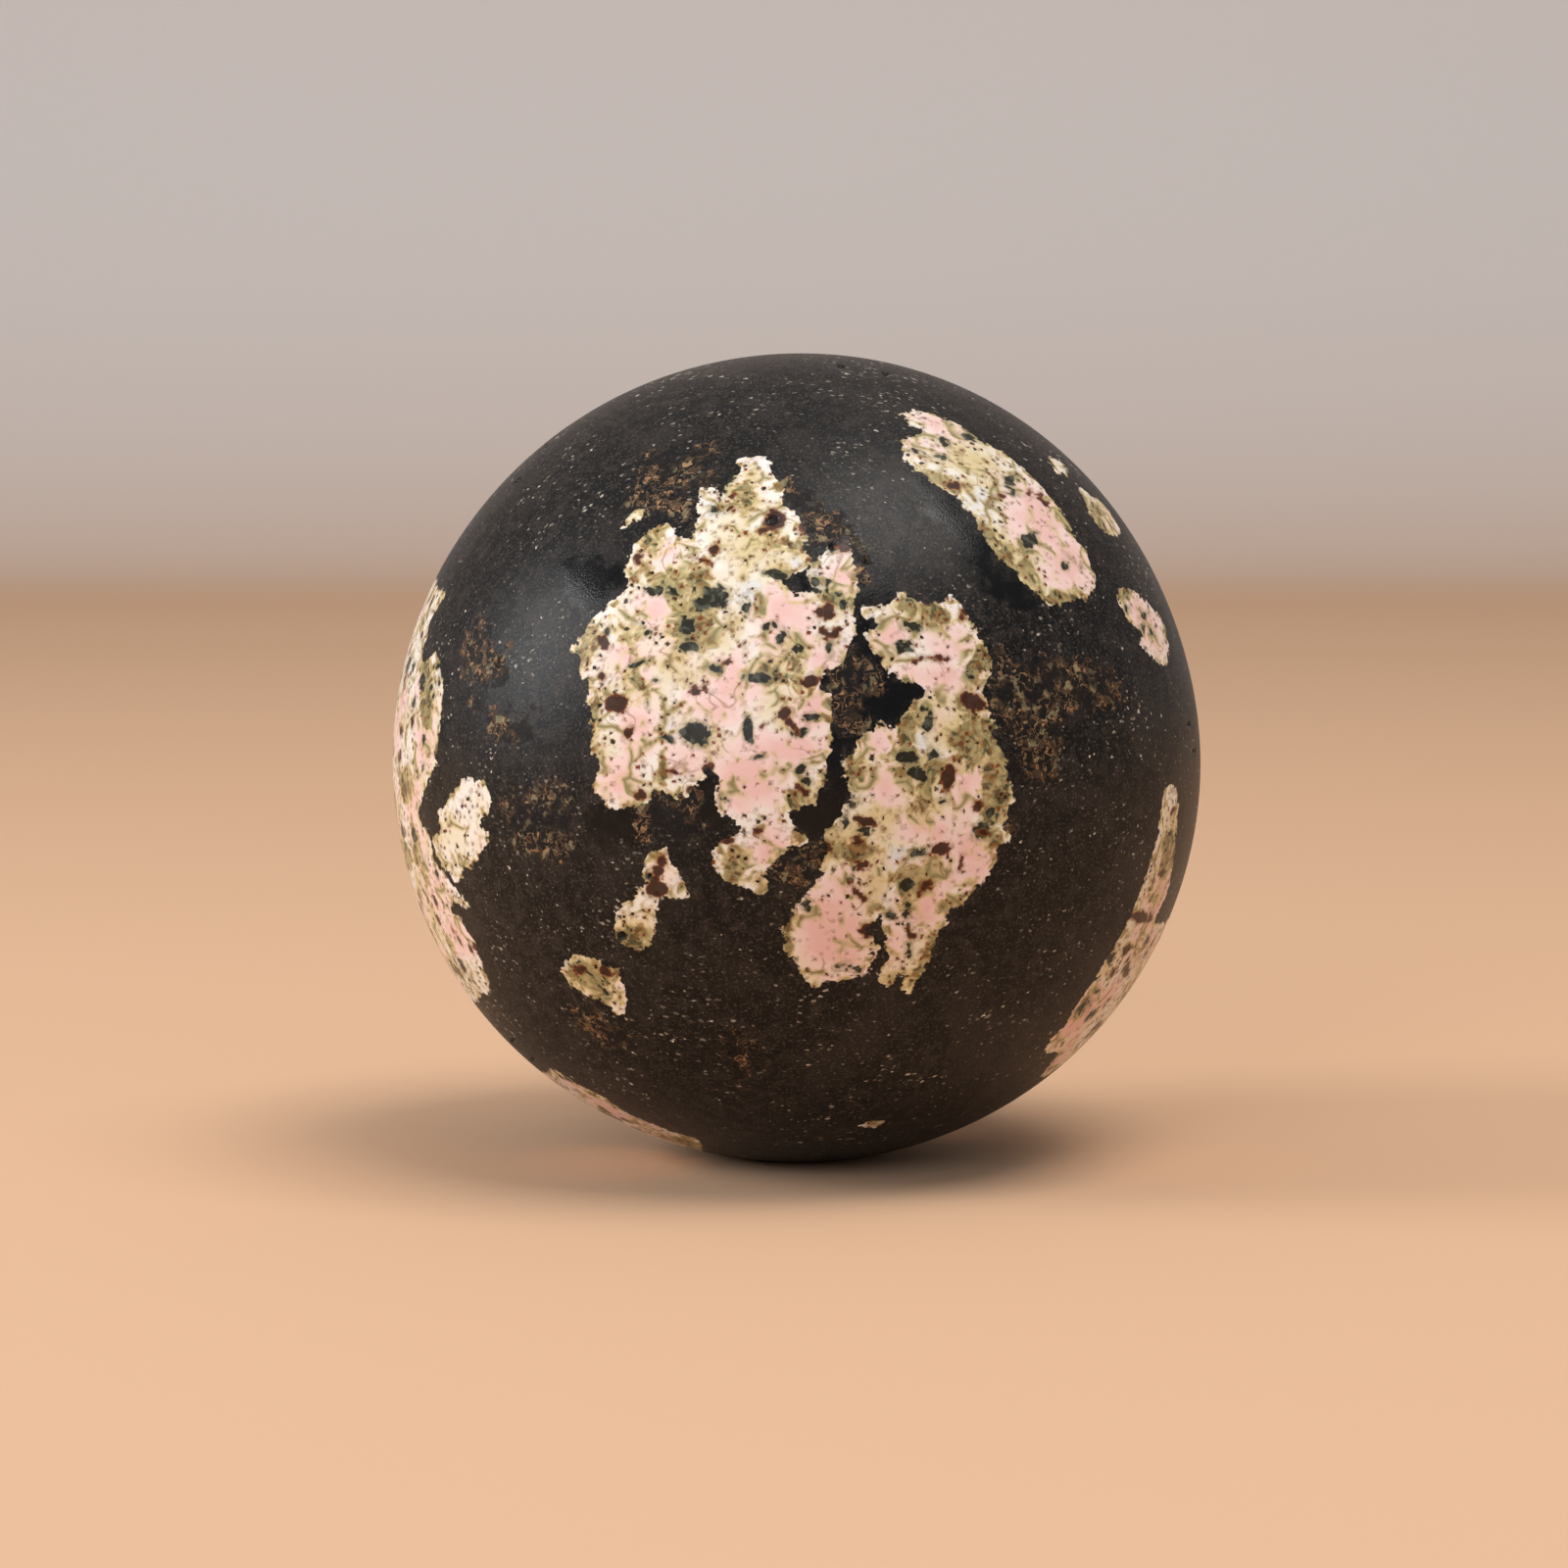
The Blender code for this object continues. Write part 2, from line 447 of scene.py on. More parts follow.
LOW_RIGHT_PATCH_FRONT = (
    (18.2, -23.6), (19.4, -22), (18.5, -21.5), (19.9, -19.8), (21, -18.1), (22.2, -16.5), (23.1, -14.8),
    (24.5, -12.5), (24.9, -11.5), (25.7, -9.4), (26.3, -7.9), (26.7, -6.1), (27.1, -4.1), (27.2, -3),
    (27.7, -1.9), (28.3, -2.5), (28.3, -4.1), (28, -7.7), (27.4, -10.3), (26.7, -12.1),
)
LOW_RIGHT_PATCH_HIDDEN = (
    (-3, -12.4), (-0.5, -9.8), (2.6, -10.8), (3.4, -13.8), (6.8, -14.2), (9.2, -16.8), (7.6, -19.6),
    (8.4, -22.6), (5, -24.4), (2.8, -23), (0.4, -25.2), (-1.5, -24),
)

LOW_LEFT_PATCH_FRONT = (
    (-7.2, -28.5), (-9, -27.9), (-10.6, -27.3), (-13, -26.2), (-14.1, -25.4), (-15.5, -24.7),
    (-17.3, -23.6), (-18.4, -23.2),
)
LOW_LEFT_PATCH_HIDDEN = ((-20, 2.5), (-18.6, -1.5), (-14.4, -3.4), (-11.2, -2), (-9.4, 1), (-7.4, 3.4))

SMALL_PATCHES_IN_FRONT = (
    (
        (23.9, 12.5), (24.3, 12.8), (25, 12.5), (26.1, 11.6), (27.2, 10.4), (27.5, 9.5), (27.7, 7.6),
        (27.2, 7), (26.6, 7.4), (26, 8.1), (25.4, 8.7), (25.7, 9.2), (24.8, 10.3), (24.3, 11),
    ),
    (
        (20.9, 20.2), (21.7, 19.7), (22.7, 19), (23.6, 17.9), (24.1, 16.7), (23.4, 16.6), (22.5, 17.2),
        (21.8, 18.2), (21.3, 19.3),
    ),
    (
        (-11.4, -8.3), (-11, -7.2), (-10, -6.8), (-9.4, -7.6), (-8.8, -8.6), (-8.1, -9.8), (-8.4, -10.4),
        (-9.8, -10.5), (-10.5, -11.4), (-10.5, -12.2), (-10.9, -13.7), (-11.8, -14), (-12.8, -14),
        (-13.5, -13.3), (-13.5, -11.8), (-13, -11.1), (-12.2, -10.2), (-11.1, -9.4), (-11.4, -9),
    ),
    (
        (-17.3, -16.3), (-17.2, -15.3), (-16.2, -14.7), (-15.2, -14.9), (-14.2, -15.4), (-13.3, -15.8),
        (-12.8, -17.1), (-12.7, -18.1), (-13, -19.1), (-13.8, -18.7), (-14.6, -17.9), (-15.7, -17.7),
        (-16.5, -17.1),
    ),
    ((-13, 17.2), (-12.5, 18), (-11.7, 18.5), (-11.4, 18.2), (-11.9, 17.7), (-12.7, 17.1)),
)

GLASSY_IN_FRONT = (
    (
        (-17.4, 15.1), (-15.5, 14.8), (-13, 14.7), (-12.5, 13.3), (-13.6, 12.3), (-15.1, 11),
        (-15.7, 11.6), (-16.7, 12.3), (-17.3, 13.4),
    ),
    (
        (4, 12.4), (5.2, 12.7), (6.7, 11.8), (5.2, 11.2), (5.8, 9.7), (4.9, 9.3), (5.2, 8.7), (6.4, 6.9),
        (7.5, 6), (9.1, 5.5), (9.4, 4.8), (8.2, 3.8), (7.2, 2.6), (5.3, 2.3), (4.3, 1), (3.3, -0.1),
        (3.6, -1.5), (3.6, -3.2), (2.4, -5), (0.8, -5.8), (-0.2, -4.2), (1.7, -3.2), (2.4, -1.2),
        (2.7, 2.5), (2.4, 5.1), (2.1, 6.1), (4.2, 8), (4.5, 10.5),
    ),
    (
        (8.3, 21.6), (10, 20.2), (11.6, 19.6), (12.9, 17.8), (14, 16.1), (14.8, 14.3), (16.9, 12.8),
        (18.2, 11.7), (16.6, 11.1), (14.5, 12.3), (12.8, 15.2), (11.2, 17.2), (9.7, 18.4), (9.3, 20),
    ),
    ((-0.1, 14), (1, 14.3), (1, 12.5), (-0.1, 12.6)),
    (
        (-14.9, -3.6), (-11.9, -3.8), (-10.8, -2.8), (-10.8, -4.8), (-12.6, -6.1), (-15.2, -6),
        (-15.8, -4.7),
    ),
    ((-7.3, -1.8), (-6, -1.5), (-5.9, -3.5), (-4.9, -4.7), (-6.5, -5), (-7.8, -3.8)),
)

VUGGY_IN_FRONT = (
    (
        (-11.7, 22.9), (-10.3, 23.1), (-8.2, 22.7), (-6.6, 23.5), (-5.6, 23.3), (-6.3, 21.9),
        (-6.2, 20.4), (-7.6, 19.8), (-7.8, 18.5), (-9, 17.4), (-10.6, 17.6), (-11.9, 18.5),
        (-13.2, 19.1), (-12.6, 20.1), (-11.9, 21.3),
    ),
    (
        (-0.9, 20.7), (0.1, 21), (0.8, 20.1), (1.7, 18.8), (3.3, 18.2), (4, 17.1), (5.2, 15.9),
        (5.5, 13.4), (4.6, 12.7), (4.5, 14.9), (3.6, 16.2), (2.4, 15.9), (1, 15.2), (0.7, 16.5),
        (-0.3, 18.1), (-1, 19.4),
    ),
    ((2.4, 7.4), (4.9, 8), (6.7, 6.4), (6.2, 5.4), (5.2, 4.5), (5.3, 2.3), (4, 1.6), (2.7, 2.6), (2.6, 5.1)),
    ((-2.3, -8.5), (-0.9, -7.1), (0.7, -6.3), (1.8, -6.3), (2.4, -7.1), (1.7, -8.6), (0.7, -10.2), (-0.9, -9.6)),
    ((-12, -2.8), (-10.8, -2.3), (-9, -2.8), (-7.6, -2.3), (-7.3, -4.8), (-8.2, -6.4), (-11.1, -6.4), (-11.9, -5)),
    ((-24.6, 9.8), (-23.5, 10.1), (-22.7, 8.3), (-21.6, 8), (-21.4, 6.1), (-22.2, 5.3), (-24.4, 5.8), (-25, 6.9)),
    ((-24.3, 4.5), (-22.8, 3.8), (-20.8, 3.2), (-19.5, 3.8), (-19.9, 1.2), (-21.9, 1), (-24.1, 3.5)),
    ((-22.4, -2.3), (-19.9, -1.9), (-17.6, -1.6), (-16.8, -4.1), (-17, -6.9), (-18.4, -7.7), (-21.1, -7), (-21.9, -4.8)),
    (
        (14.8, 8.3), (16.6, 7.4), (19.5, 7.7), (21.7, 7.4), (23.9, 6.1), (24, 4.2), (21, 3.6),
        (19.5, 2.5), (19.6, -1.2), (16.6, -1.9), (16.3, -4.1), (17, -5.5), (15.7, -5.5), (16.3, -3.4),
        (15.9, -1.2), (15.9, 0.7), (14.8, 2.5), (14.4, 4.5), (14.8, 6.1),
    ),
    ((-17, -18.7), (-15.5, -18.4), (-14.3, -19.3), (-12.6, -20.7), (-12.2, -21.7), (-14.1, -21.6), (-15.8, -20.4)),
    ((-6.2, -21), (-4.7, -20.4), (-3.3, -21), (-3.4, -22.5), (-4, -23.8), (-4.9, -25.1), (-5.2, -22.5)),
)

SPOTS_IN_FRONT = {
    Stain.PALE: spots_of((19.4, 21.7, 1.6, 0.6, -42), (5.7, -27.2, 1.8, 0.5, 5)),
    Stain.PINK: spots_of(
        (-10, 15.4, 2.5, 2.2), (-10.6, 10.9, 2.8, 2.8), (-12.6, 7.7, 3.4, 1.9, 20), (-11.7, 2.2, 2.5, 5.1, -5),
        (-11.4, 5.4, 1.6, 2.5), (-13.5, -1.5, 2.9, 2.8), (-8.1, -0.1, 2.5, 2), (-4.7, 5.5, 3.5, 4.1),
        (-6.3, 3.8, 4.4, 2.5), (-1.1, 10.8, 3.8, 3.8), (-0.9, 8.6, 3.6, 2.2), (1.8, 7.6, 3.1, 1.9),
        (3.3, 13.6, 2, 3.1), (1.2, 3.8, 2.9, 3.5), (-0.9, 0.7, 7.3, 2.5), (-3.7, -1.3, 5.5, 4.5),
        (-1.9, -6.4, 3.2, 3.2), (-4.6, -3.4, 2.9, 1.9), (6, 1.2, 2.9, 2.2), (11.2, 8.6, 3.4, 2.6),
        (10.6, 6.1, 6.1, 1.9), (7, 9, 2.2, 3.2, -30), (12.9, -0.1, 1.5, 2.9), (12.6, -2.3, 2.2, 4.4, -15),
        (9.9, -5.3, 4.4, 2.2), (13.1, -7.4, 4.1, 4.1, 35), (10.9, -8.5, 3.4, 2.5), (9.6, -11.1, 3.2, 3.2),
        (2.4, -12.7, 4.8, 7), (4, -14.7, 3.2, 2.9), (3.6, -9.6, 1.9, 2.6), (7.2, -13.6, 1.3, 2.6),
        (6.4, -1.9, 2.5, 2.5), (10.9, 24.7, 3.8, 1.3, -18), (18.2, 17.7, 6.1, 3.8, -48),
        (20.4, 14.6, 3.6, 5.4, 25), (25.8, 10.2, 2.3, 5.1, 32), (23, 17.9, 1.3, 1.9, 35), (9, 23.2, 2, 1.3, -15),
    ),
    Stain.ICE: spots_of(
        (-6.2, 18.5, 1.6, 1.5), (-3.5, 12.3, 2.5, 1.6), (3.5, 8.3, 1.5, 2), (3.6, -4.1, 0.9, 1.8),
        (8.7, 1, 2.2, 1.5), (7.8, -7.3, 2, 2.2), (9.4, -8.5, 1.5, 1.5), (6.8, -11.5, 1.3, 1.5),
        (-9.7, 16.7, 1.2, 1), (0, 14.5, 2.2, 1), (2, 12.7, 0.9, 1), (-12, 15.6, 1, 0.9), (-9.8, 2.1, 1.9, 1.3),
        (-5.7, -8.5, 1.2, 1), (0.7, -3.2, 1.2, 1.2), (13.7, 19.3, 1.8, 1), (-2.7, 22, 1.9, 0.9),
        (-9.1, -9.6, 1.2, 1.9, -30), (1.7, 14, 1, 1.5),
    ),
    Stain.OLIVE: spots_of(
        (-7.6, 10.1, 3.2, 4.4, -5), (-9.4, 13.6, 3.4, 1.5, -5), (-7.6, 13.4, 1.9, 2.2), (-1.9, 6.1, 3.9, 1.3, -10),
        (-0.1, 7.3, 1.2, 1.9), (-11.1, 16.5, 1.8, 1.6, 40), (-15.8, 8.3, 1.3, 2.9, -15), (-15.2, 2.8, 0.9, 4.4),
        (-12.6, 9.8, 1.8, 0.9, -40), (-10, -1.2, 0.6, 4.4), (-11.9, 5.4, 0.9, 1.2), (-3.7, 19.1, 1.2, 2.9),
        (-0.5, 15.9, 2.9, 1.2, -10), (3.7, 11.8, 1.8, 1), (-0.3, -3.1, 2.2, 1.2, 30), (1.8, -2.3, 0.6, 2.2, -30),
        (-4.7, -7.4, 1.6, 2.9), (-2.4, -9.6, 1, 1), (8.2, 2.5, 1.5, 3.4, -15), (8.6, -0.4, 3.2, 2.2, -10),
        (9.4, -2.8, 1.3, 4.4, -8), (13.4, 1.6, 3.8, 4.4, -25), (15, -1.9, 2.2, 8, -8), (4.2, -0.6, 1.2, 3.2),
        (4.3, -7, 2.9, 1, 8), (8.4, -9.2, 2.9, 2.6, 20), (6.7, -15.8, 1, 1.9, 20), (9.9, -14.2, 0.6, 4.4, -20),
        (11.9, -10.7, 3.2, 0.9, 40), (-0.6, -13.6, 0.7, 2.9), (9.6, 11.1, 4.4, 1.3, -20), (14, 8, 1, 4.4, -22),
        (0.5, -8.6, 2, 2.2), (15, 15.6, 1.2, 4.4, 38), (10.6, 20.7, 3.2, 0.9, -30), (19.5, 11.8, 3.6, 0.9, -5),
        (17.5, 13.4, 0.7, 2.6, 40), (20.2, 17.5, 0.7, 4.4, 33), (22.6, 17.8, 0.9, 3.6, 38),
        (-11.9, -13.3, 2.5, 1.5), (-15.1, -16.5, 3.6, 2.2, -30), (24.2, 12.4, 0.7, 0.9),
    ),
    Stain.OCHRE: spots_of(
        (-3, 15.9, 5.1, 3.6), (-3.8, 18.5, 2.2, 4.4), (-4.7, 9.8, 1.8, 2.9), (-8.2, 6.1, 5.1, 2.2),
        (-6.2, 0.3, 2.2, 2.9), (-12.5, 5, 1.8, 2.9), (-9, 9, 2.9, 2.9), (-11.6, -2.3, 1.6, 1.9),
        (-0.9, 2.8, 2.9, 2.9), (6.6, -3.4, 3.2, 4.4), (10.6, 2.5, 3.6, 4.4), (11.3, -1.3, 1.5, 2.9),
        (9.6, -2.8, 2.2, 5.8), (5.3, -9.2, 4.4, 4.4), (9.3, -11.4, 2.9, 2.2), (3.9, -5.5, 3.6, 2.2),
        (12.9, -7, 1.5, 3.6), (12.9, 22.2, 7.3, 2.5, -28), (16.7, 15.2, 1.9, 4.4, 38), (14.4, 20, 4.4, 1.5, -30),
        (-15.1, -16.5, 4.4, 3.2, -30), (-11.9, -12.8, 2.9, 2), (-10.3, -8.5, 1.5, 2.9), (9.3, 10.9, 4.4, 1.8, -20),
    ),
    Stain.BLACK: spots_of(
        (-7.6, 1.9, 2.2, 2, -30), (-11.1, 9.4, 0.7, 0.4), (-11.7, 7.1, 1.3, 0.4, 20), (-6, 6.7, 0.9, 0.5, -25),
        (-10.5, 5.9, 0.4, 0.4), (-11.1, 4.2, 0.3, 0.7), (-3.6, 2.2, 0.6, 1.9, 8), (-9.7, 1.5, 0.8, 0.4, -15),
        (-3.7, 11.5, 0.7, 1.2), (-2.2, 9.7, 0.6, 0.6), (-1.6, 10, 0.4, 0.4), (-1.1, 9.1, 0.7, 1, -20),
        (2.4, 8.2, 0.7, 0.9), (-0.1, 8.2, 0.7, 0.5), (-6.2, 18.5, 0.7, 0.5), (-5.3, -3, 0.5, 0.5),
        (-2.8, 0.1, 0.9, 0.4), (0.4, -0.8, 0.6, 0.4, 30), (0.7, -1.7, 0.4, 0.4), (1.2, 3.1, 0.7, 0.4),
        (0.2, 1.9, 0.9, 0.4, 10), (1.4, 13.2, 0.7, 0.7), (2.4, 13.1, 0.4, 0.5), (3.5, 11.6, 0.7, 0.6),
        (-10.6, 12.5, 1.2, 0.8), (-9.3, 12.4, 0.9, 0.7), (-6, 12.1, 2, 1.5, -10), (-14.2, 9.3, 0.3, 0.7, -30),
        (-8.2, 9.8, 1, 1.3), (-7.1, 11.5, 1.2, 1), (-8.1, 8.3, 1.3, 0.6), (-2.8, 6, 1.9, 0.7, -8),
        (-1.5, 13.7, 1.9, 0.6, -15), (8.7, 9.9, 1.5, 0.8, -18), (8, 8.3, 1.3, 0.9), (12.7, 6.3, 0.7, 0.9, -35),
        (9.5, 3.8, 0.4, 0.4), (9.8, 2.6, 0.8, 1.3, -15), (10.1, 0.3, 0.7, 0.9, 20), (8.2, 0.1, 1.8, 1, -10),
        (9.1, -1.2, 1.5, 0.9, -30), (9.1, -6.9, 1.3, 0.7, 10), (8.2, -9.4, 1.2, 0.8, 30), (7, -11.7, 0.6, 0.7),
        (0.7, -10.9, 0.6, 0.6), (3.6, -4.7, 0.6, 0.9), (5.1, -5.3, 1, 0.8), (14, -5.3, 1.5, 1.2, 20),
        (14.5, -4.1, 0.7, 0.7), (10.9, -3.2, 0.6, 0.6), (4.4, -2.5, 0.6, 0.4, -30), (4.3, -3.4, 0.5, 0.4),
        (9, 22.8, 0.9, 0.3, -18), (10.5, 22.5, 0.9, 0.3, -10), (15.9, 20.6, 0.8, 1, -35), (16.1, 19.8, 0.8, 0.4, -25),
        (12.6, 23.9, 0.9, 0.3, -14), (10.9, 23.6, 0.6, 0.4, -25), (17.3, 16.2, 0.9, 1.6, -25), (20, 14.4, 0.3, 0.4),
        (21.1, 14.2, 0.3, 0.7), (20.5, 14.8, 0.7, 0.2, -45), (24.6, 11.2, 0.5, 0.4, -45), (25.8, 9.7, 0.3, 0.4),
        (25.2, 9.3, 0.7, 1, -30), (25.9, 10.7, 0.3, 0.4), (26.4, 9.5, 0.3, 0.4), (-11, -8.8, 0.7, 0.7, 30),
        (-13, -13.2, 0.7, 0.7), (2.7, 15.6, 0.9, 0.7), (4.3, 16.2, 1.8, 0.4, -28), (5.2, 14.7, 0.4, 0.9),
    ) + (
        Streak(0.22, ((1, 12.6), (2.1, 12.5), (3.3, 12.2))),
        Streak(0.18, ((2.9, -15.6), (3.7, -15.4), (4.7, -15.8))),
        Streak(0.22, ((8.3, -10.9), (8.1, -12), (8.7, -13.2), (8.3, -13.9), (8.4, -14.7))),
        Streak(0.15, ((-16.2, -15.2), (-15.2, -16.3), (-14, -17.7))),
        Streak(0.15, ((-17, -15.3), (-16, -16.5))),
        Streak(0.22, ((20.8, -18.8), (21.7, -18.1))),
        Streak(0.51, ((-4.9, 21.2), (-5.4, 20))),
        Streak(0.18, ((4.3, -8.2), (4, -9.2))),
        Streak(0.15, ((-12.5, 10.4), (-11.5, 9.9), (-11.1, 9.4))),
    ),
    Stain.RUST: spots_of(
        (-11.9, 15, 0.7, 0.7), (-12, 13.3, 0.5, 0.4), (-14.3, 8.6, 0.7, 1.3, 28), (-14.6, 6.1, 0.6, 0.5, -20),
        (-13.4, 4.1, 1.5, 1.3), (-12.6, 1.9, 0.6, 0.9, -20), (-4.9, 19.5, 0.7, 0.4, 8), (-4.8, 18.5, 0.7, 0.6),
        (-0.2, 19.3, 1.2, 1, 30), (-0.3, 20.5, 0.6, 0.4, 10), (-1.7, 17.7, 1.6, 1.5), (-2.5, 17, 0.9, 0.4, 10),
        (0.5, 17.1, 0.6, 0.7), (-6.1, 15.6, 0.7, 0.7), (-4.2, 8.5, 0.6, 0.4), (-5.1, 7.1, 0.5, 0.6),
        (2.4, 10.9, 0.9, 1), (1.7, 10.9, 0.7, 0.6), (1.1, 5.8, 1.5, 0.7, 5), (-0.9, 3.4, 0.9, 0.9),
        (-6.5, -0.7, 0.7, 0.8), (-9.1, -1, 0.8, 0.4, -15), (-7.9, -2.3, 0.7, 0.6), (-11.6, -2.7, 0.9, 0.9, 30),
        (-3, -5.4, 0.7, 0.5), (-5.2, -6.2, 1.1, 0.7, 10), (0.5, -2.4, 1, 0.5, -35), (-7.6, 5.1, 0.7, 0.6, -30),
        (-6.8, 5.3, 0.5, 0.7), (4.9, -8, 0.8, 0.7), (5.2, -4.7, 1.9, 0.6, -18), (4.5, -6.1, 0.5, 0.4),
        (10.8, -6.7, 1.3, 0.7, 15), (13.5, -3.6, 0.7, 0.7), (11.3, -1.4, 0.9, 1.8, -12), (13.1, 4.2, 1.9, 1.3, -35),
        (12.4, 10.7, 0.7, 0.9), (5.2, -12.8, 1.2, 0.9, 20), (14, -5.5, 0.7, 0.5), (11.7, 20.3, 1, 0.5),
        (-10.3, -9.8, 1.5, 1.1), (-10.1, -7.9, 0.8, 0.9), (3.6, 15.8, 1.2, 1), (2.3, 17.9, 1.3, 0.7, 15),
        (1.8, -6.6, 1.2, 1), (-16.2, -15.8, 0.7, 0.6), (-14.3, -15.8, 1, 0.6, -30), (25.6, -11.8, 1.3, 0.9),
        (-12.9, 19.4, 0.9, 0.7), (-20, 1.5, 0.6, 0.6), (-21.5, 6, 0.5, 0.5),
    ) + (
        Streak(0.36, ((1.8, 9.6), (2.6, 9.1), (3.3, 9.6))),
        Streak(0.29, ((-2.7, 2.3), (-1.7, 2.9), (-0.9, 3.4), (-0.5, 2.5), (0.1, 1.9))),
        Streak(0.16, ((8.6, 7.1), (9.5, 7.6), (10.5, 7.5), (11.5, 7.4))),
        Streak(0.29, ((4, -9.3), (4.4, -9.9), (4.9, -10.4))),
        Streak(0.40, ((9.1, -10.1), (9.9, -9.2))),
        Streak(0.33, ((12.1, -8.2), (12.3, -7.4))),
        Streak(0.18, ((-8.1, 15), (-7.1, 14.8), (-6.2, 14.4))),
        Streak(0.22, ((14.4, 19.3), (15.6, 19.6))),
        Streak(0.29, ((17.3, 19.8), (17.9, 19.6), (18.6, 19))),
        Streak(0.29, ((-5.8, 19.7), (-5.6, 18.8))),
        Streak(0.22, ((8.3, -12.8), (8.7, -13.4))),
        Streak(0.66, ((-10.1, -7.6), (-10.4, -8.6), (-10.6, -9.4))),
    ),
    Stain.PIT: spots_of(
        (-10.8, 19.9, 0.6, 0.4), (-9.3, 19.6, 0.8, 0.6, 20), (-10.9, 19.3, 0.4, 0.3), (-1.8, 17.8, 1.0, 0.7, 20),
        (-18.7, 23.3, 0.3, 0.2), (-20.8, 20.7, 0.6, 0.2, 40), (3.3, 29.1, 0.5, 0.2, -10), (6.6, 28.5, 0.4, 0.2, -20),
        (-21.1, -21, 0.3, 0.3), (-19.6, -22.4, 0.3, 0.2), (-22.3, 7, 0.4, 0.7), (-13, -13.2, 0.4, 0.5),
        (-11, -8.8, 0.4, 0.4), (-1.5, -22, 0.6, 0.4), (-5, -22.1, 0.3, 0.3), (2.6, 15.8, 0.4, 0.4),
        (5.2, 14.7, 0.3, 0.5), (29.2, 2.6, 0.2, 0.3), (29.6, 0.6, 0.2, 0.3),
    ),
}


# Nothing shows what is on the sides that face away, so these are made up in the same manner.
HIDDEN_PALE = (
    (
        RIGHT,
        (
            (2.5, 4), (4, 7.5), (2.8, 10.5), (5.5, 13.2), (8.2, 12), (10.2, 14.6), (13.5, 15.2), (15, 12.5),
            (17.8, 11.8), (18.5, 8.6), (16.2, 6.4), (17.6, 3.2), (15.8, 0.5), (12.6, 1.4), (11.2, -1.8),
            (8.2, -3.6), (6.4, -1), (3.6, 0.6),
        ),
    ),
    (
        RIGHT,
        (
            (12.5, -6), (15.8, -3.5), (18.6, -5.2), (19.2, -9), (17.6, -12.5), (18.2, -16), (15, -18.2),
            (12.8, -15.4), (13.6, -12), (11.2, -9.4),
        ),
    ),
    (
        BACK,
        (
            (-11, 15.5), (-8, 18.4), (-4.6, 17.2), (-2.4, 19.6), (0.8, 18.2), (1.6, 14.8), (4.6, 13.6),
            (5.4, 10), (8.4, 8.2), (7.4, 4.6), (9.6, 1.4), (7.6, -1.6), (8.8, -5.2), (5.6, -7.4),
            (3.2, -5.2), (1.4, -8.6), (-2, -9.8), (-3.4, -6.4), (-6.2, -5), (-5.4, -1.8), (-8.6, 0.4),
            (-7.4, 3.6), (-10.8, 5.2), (-12.6, 8.8), (-10.4, 11.6),
        ),
    ),
    (
        BACK,
        (
            (12.2, -6.2), (15.4, -4.2), (18.6, -5.8), (20.8, -9.4), (19, -13), (15.8, -14.6),
            (14.2, -17.8), (10.8, -18.6), (9.6, -15), (11.8, -12.2), (10.4, -9),
        ),
    ),
    (BACK, ((-16.4, -9.6), (-13.4, -8.2), (-10.8, -10.4), (-10.2, -14), (-12.8, -16.8), (-16, -15.2), (-17.8, -12.6))),
    (
        LEFT,
        (
            (-20.4, 11.8), (-17.6, 14.6), (-14.4, 13.2), (-13, 9.6), (-14.8, 6.6), (-14, 3.2), (-16.8, 1),
            (-19.6, 3.4), (-21.8, 7.2),
        ),
    ),
    (
        TOP,
        (
            (-13.4, 8.6), (-10, 11.4), (-6.4, 10.2), (-4.2, 12.8), (-1, 11), (-2.4, 7.6), (-5.8, 6.2),
            (-8.4, 7.4), (-11.2, 5.4),
        ),
    ),
    (TOP, ((9.4, 13.6), (12.8, 15.8), (16.4, 13.4), (18, 9.6), (15.6, 7.2), (12.6, 9))),
    (
        UNDER,
        (
            (6.4, -8.6), (9.8, -6.8), (13.6, -8.2), (15.8, -11.8), (13, -14.6), (9.2, -13.4), (6.8, -15.8),
            (4.4, -12.8),
        ),
    ),
    (UNDER, ((-6, -9.8), (-2.6, -8.4), (-1.2, -11.6), (-3.2, -15), (-7, -16.2), (-9.2, -12.8))),
)

HIDDEN_GLASSY = (
    (BACK, ((-9.4, 3.6), (-5.8, 3), (-6.8, -2.2), (-10.8, -1.2), (-13.4, 2.8))),
    (BACK, ((4.4, 14.6), (8.8, 12.6), (9.6, 8.6), (13.2, 9.8), (12, 15.2), (7, 18))),
    (RIGHT, ((18.2, 12.4), (22, 13.5), (23, 9), (20, 7.6))),
    (LEFT, ((-12.6, 6), (-10.6, 8), (-8, 8.8), (-9, 5.6), (-12.6, 2.4))),
)

HIDDEN_VUGGY = (
    (RIGHT, ((18.6, 6.2), (21.4, 7), (22.6, 3.4), (20.2, 0.6), (18, 2.6))),
    (RIGHT, ((8.4, -5.6), (11, -4.4), (12, -7.6), (9.8, -10), (7.6, -8.6))),
    (BACK, ((9.8, 9.4), (12.8, 10.2), (13.6, 6.4), (11.4, 3.6), (9.2, 5.4))),
    (BACK, ((-9.6, -1.4), (-6.4, -2.6), (-7.2, -6), (-10.8, -6.6), (-12, -3.4))),
    (BACK, ((-15.6, 16), (-12.4, 17.4), (-11.6, 13.8), (-14.6, 12.2))),
    (LEFT, ((-12.6, 13.4), (-9.4, 15.8), (-7.2, 13.2), (-9.6, 10.4), (-12, 10.6))),
    (LEFT, ((-16.6, -1.2), (-13.2, -2.2), (-13.8, -6), (-17.4, -5.4))),
    (TOP, ((2.2, 9.4), (5.4, 11), (7.6, 8.6), (5, 6.8))),
)

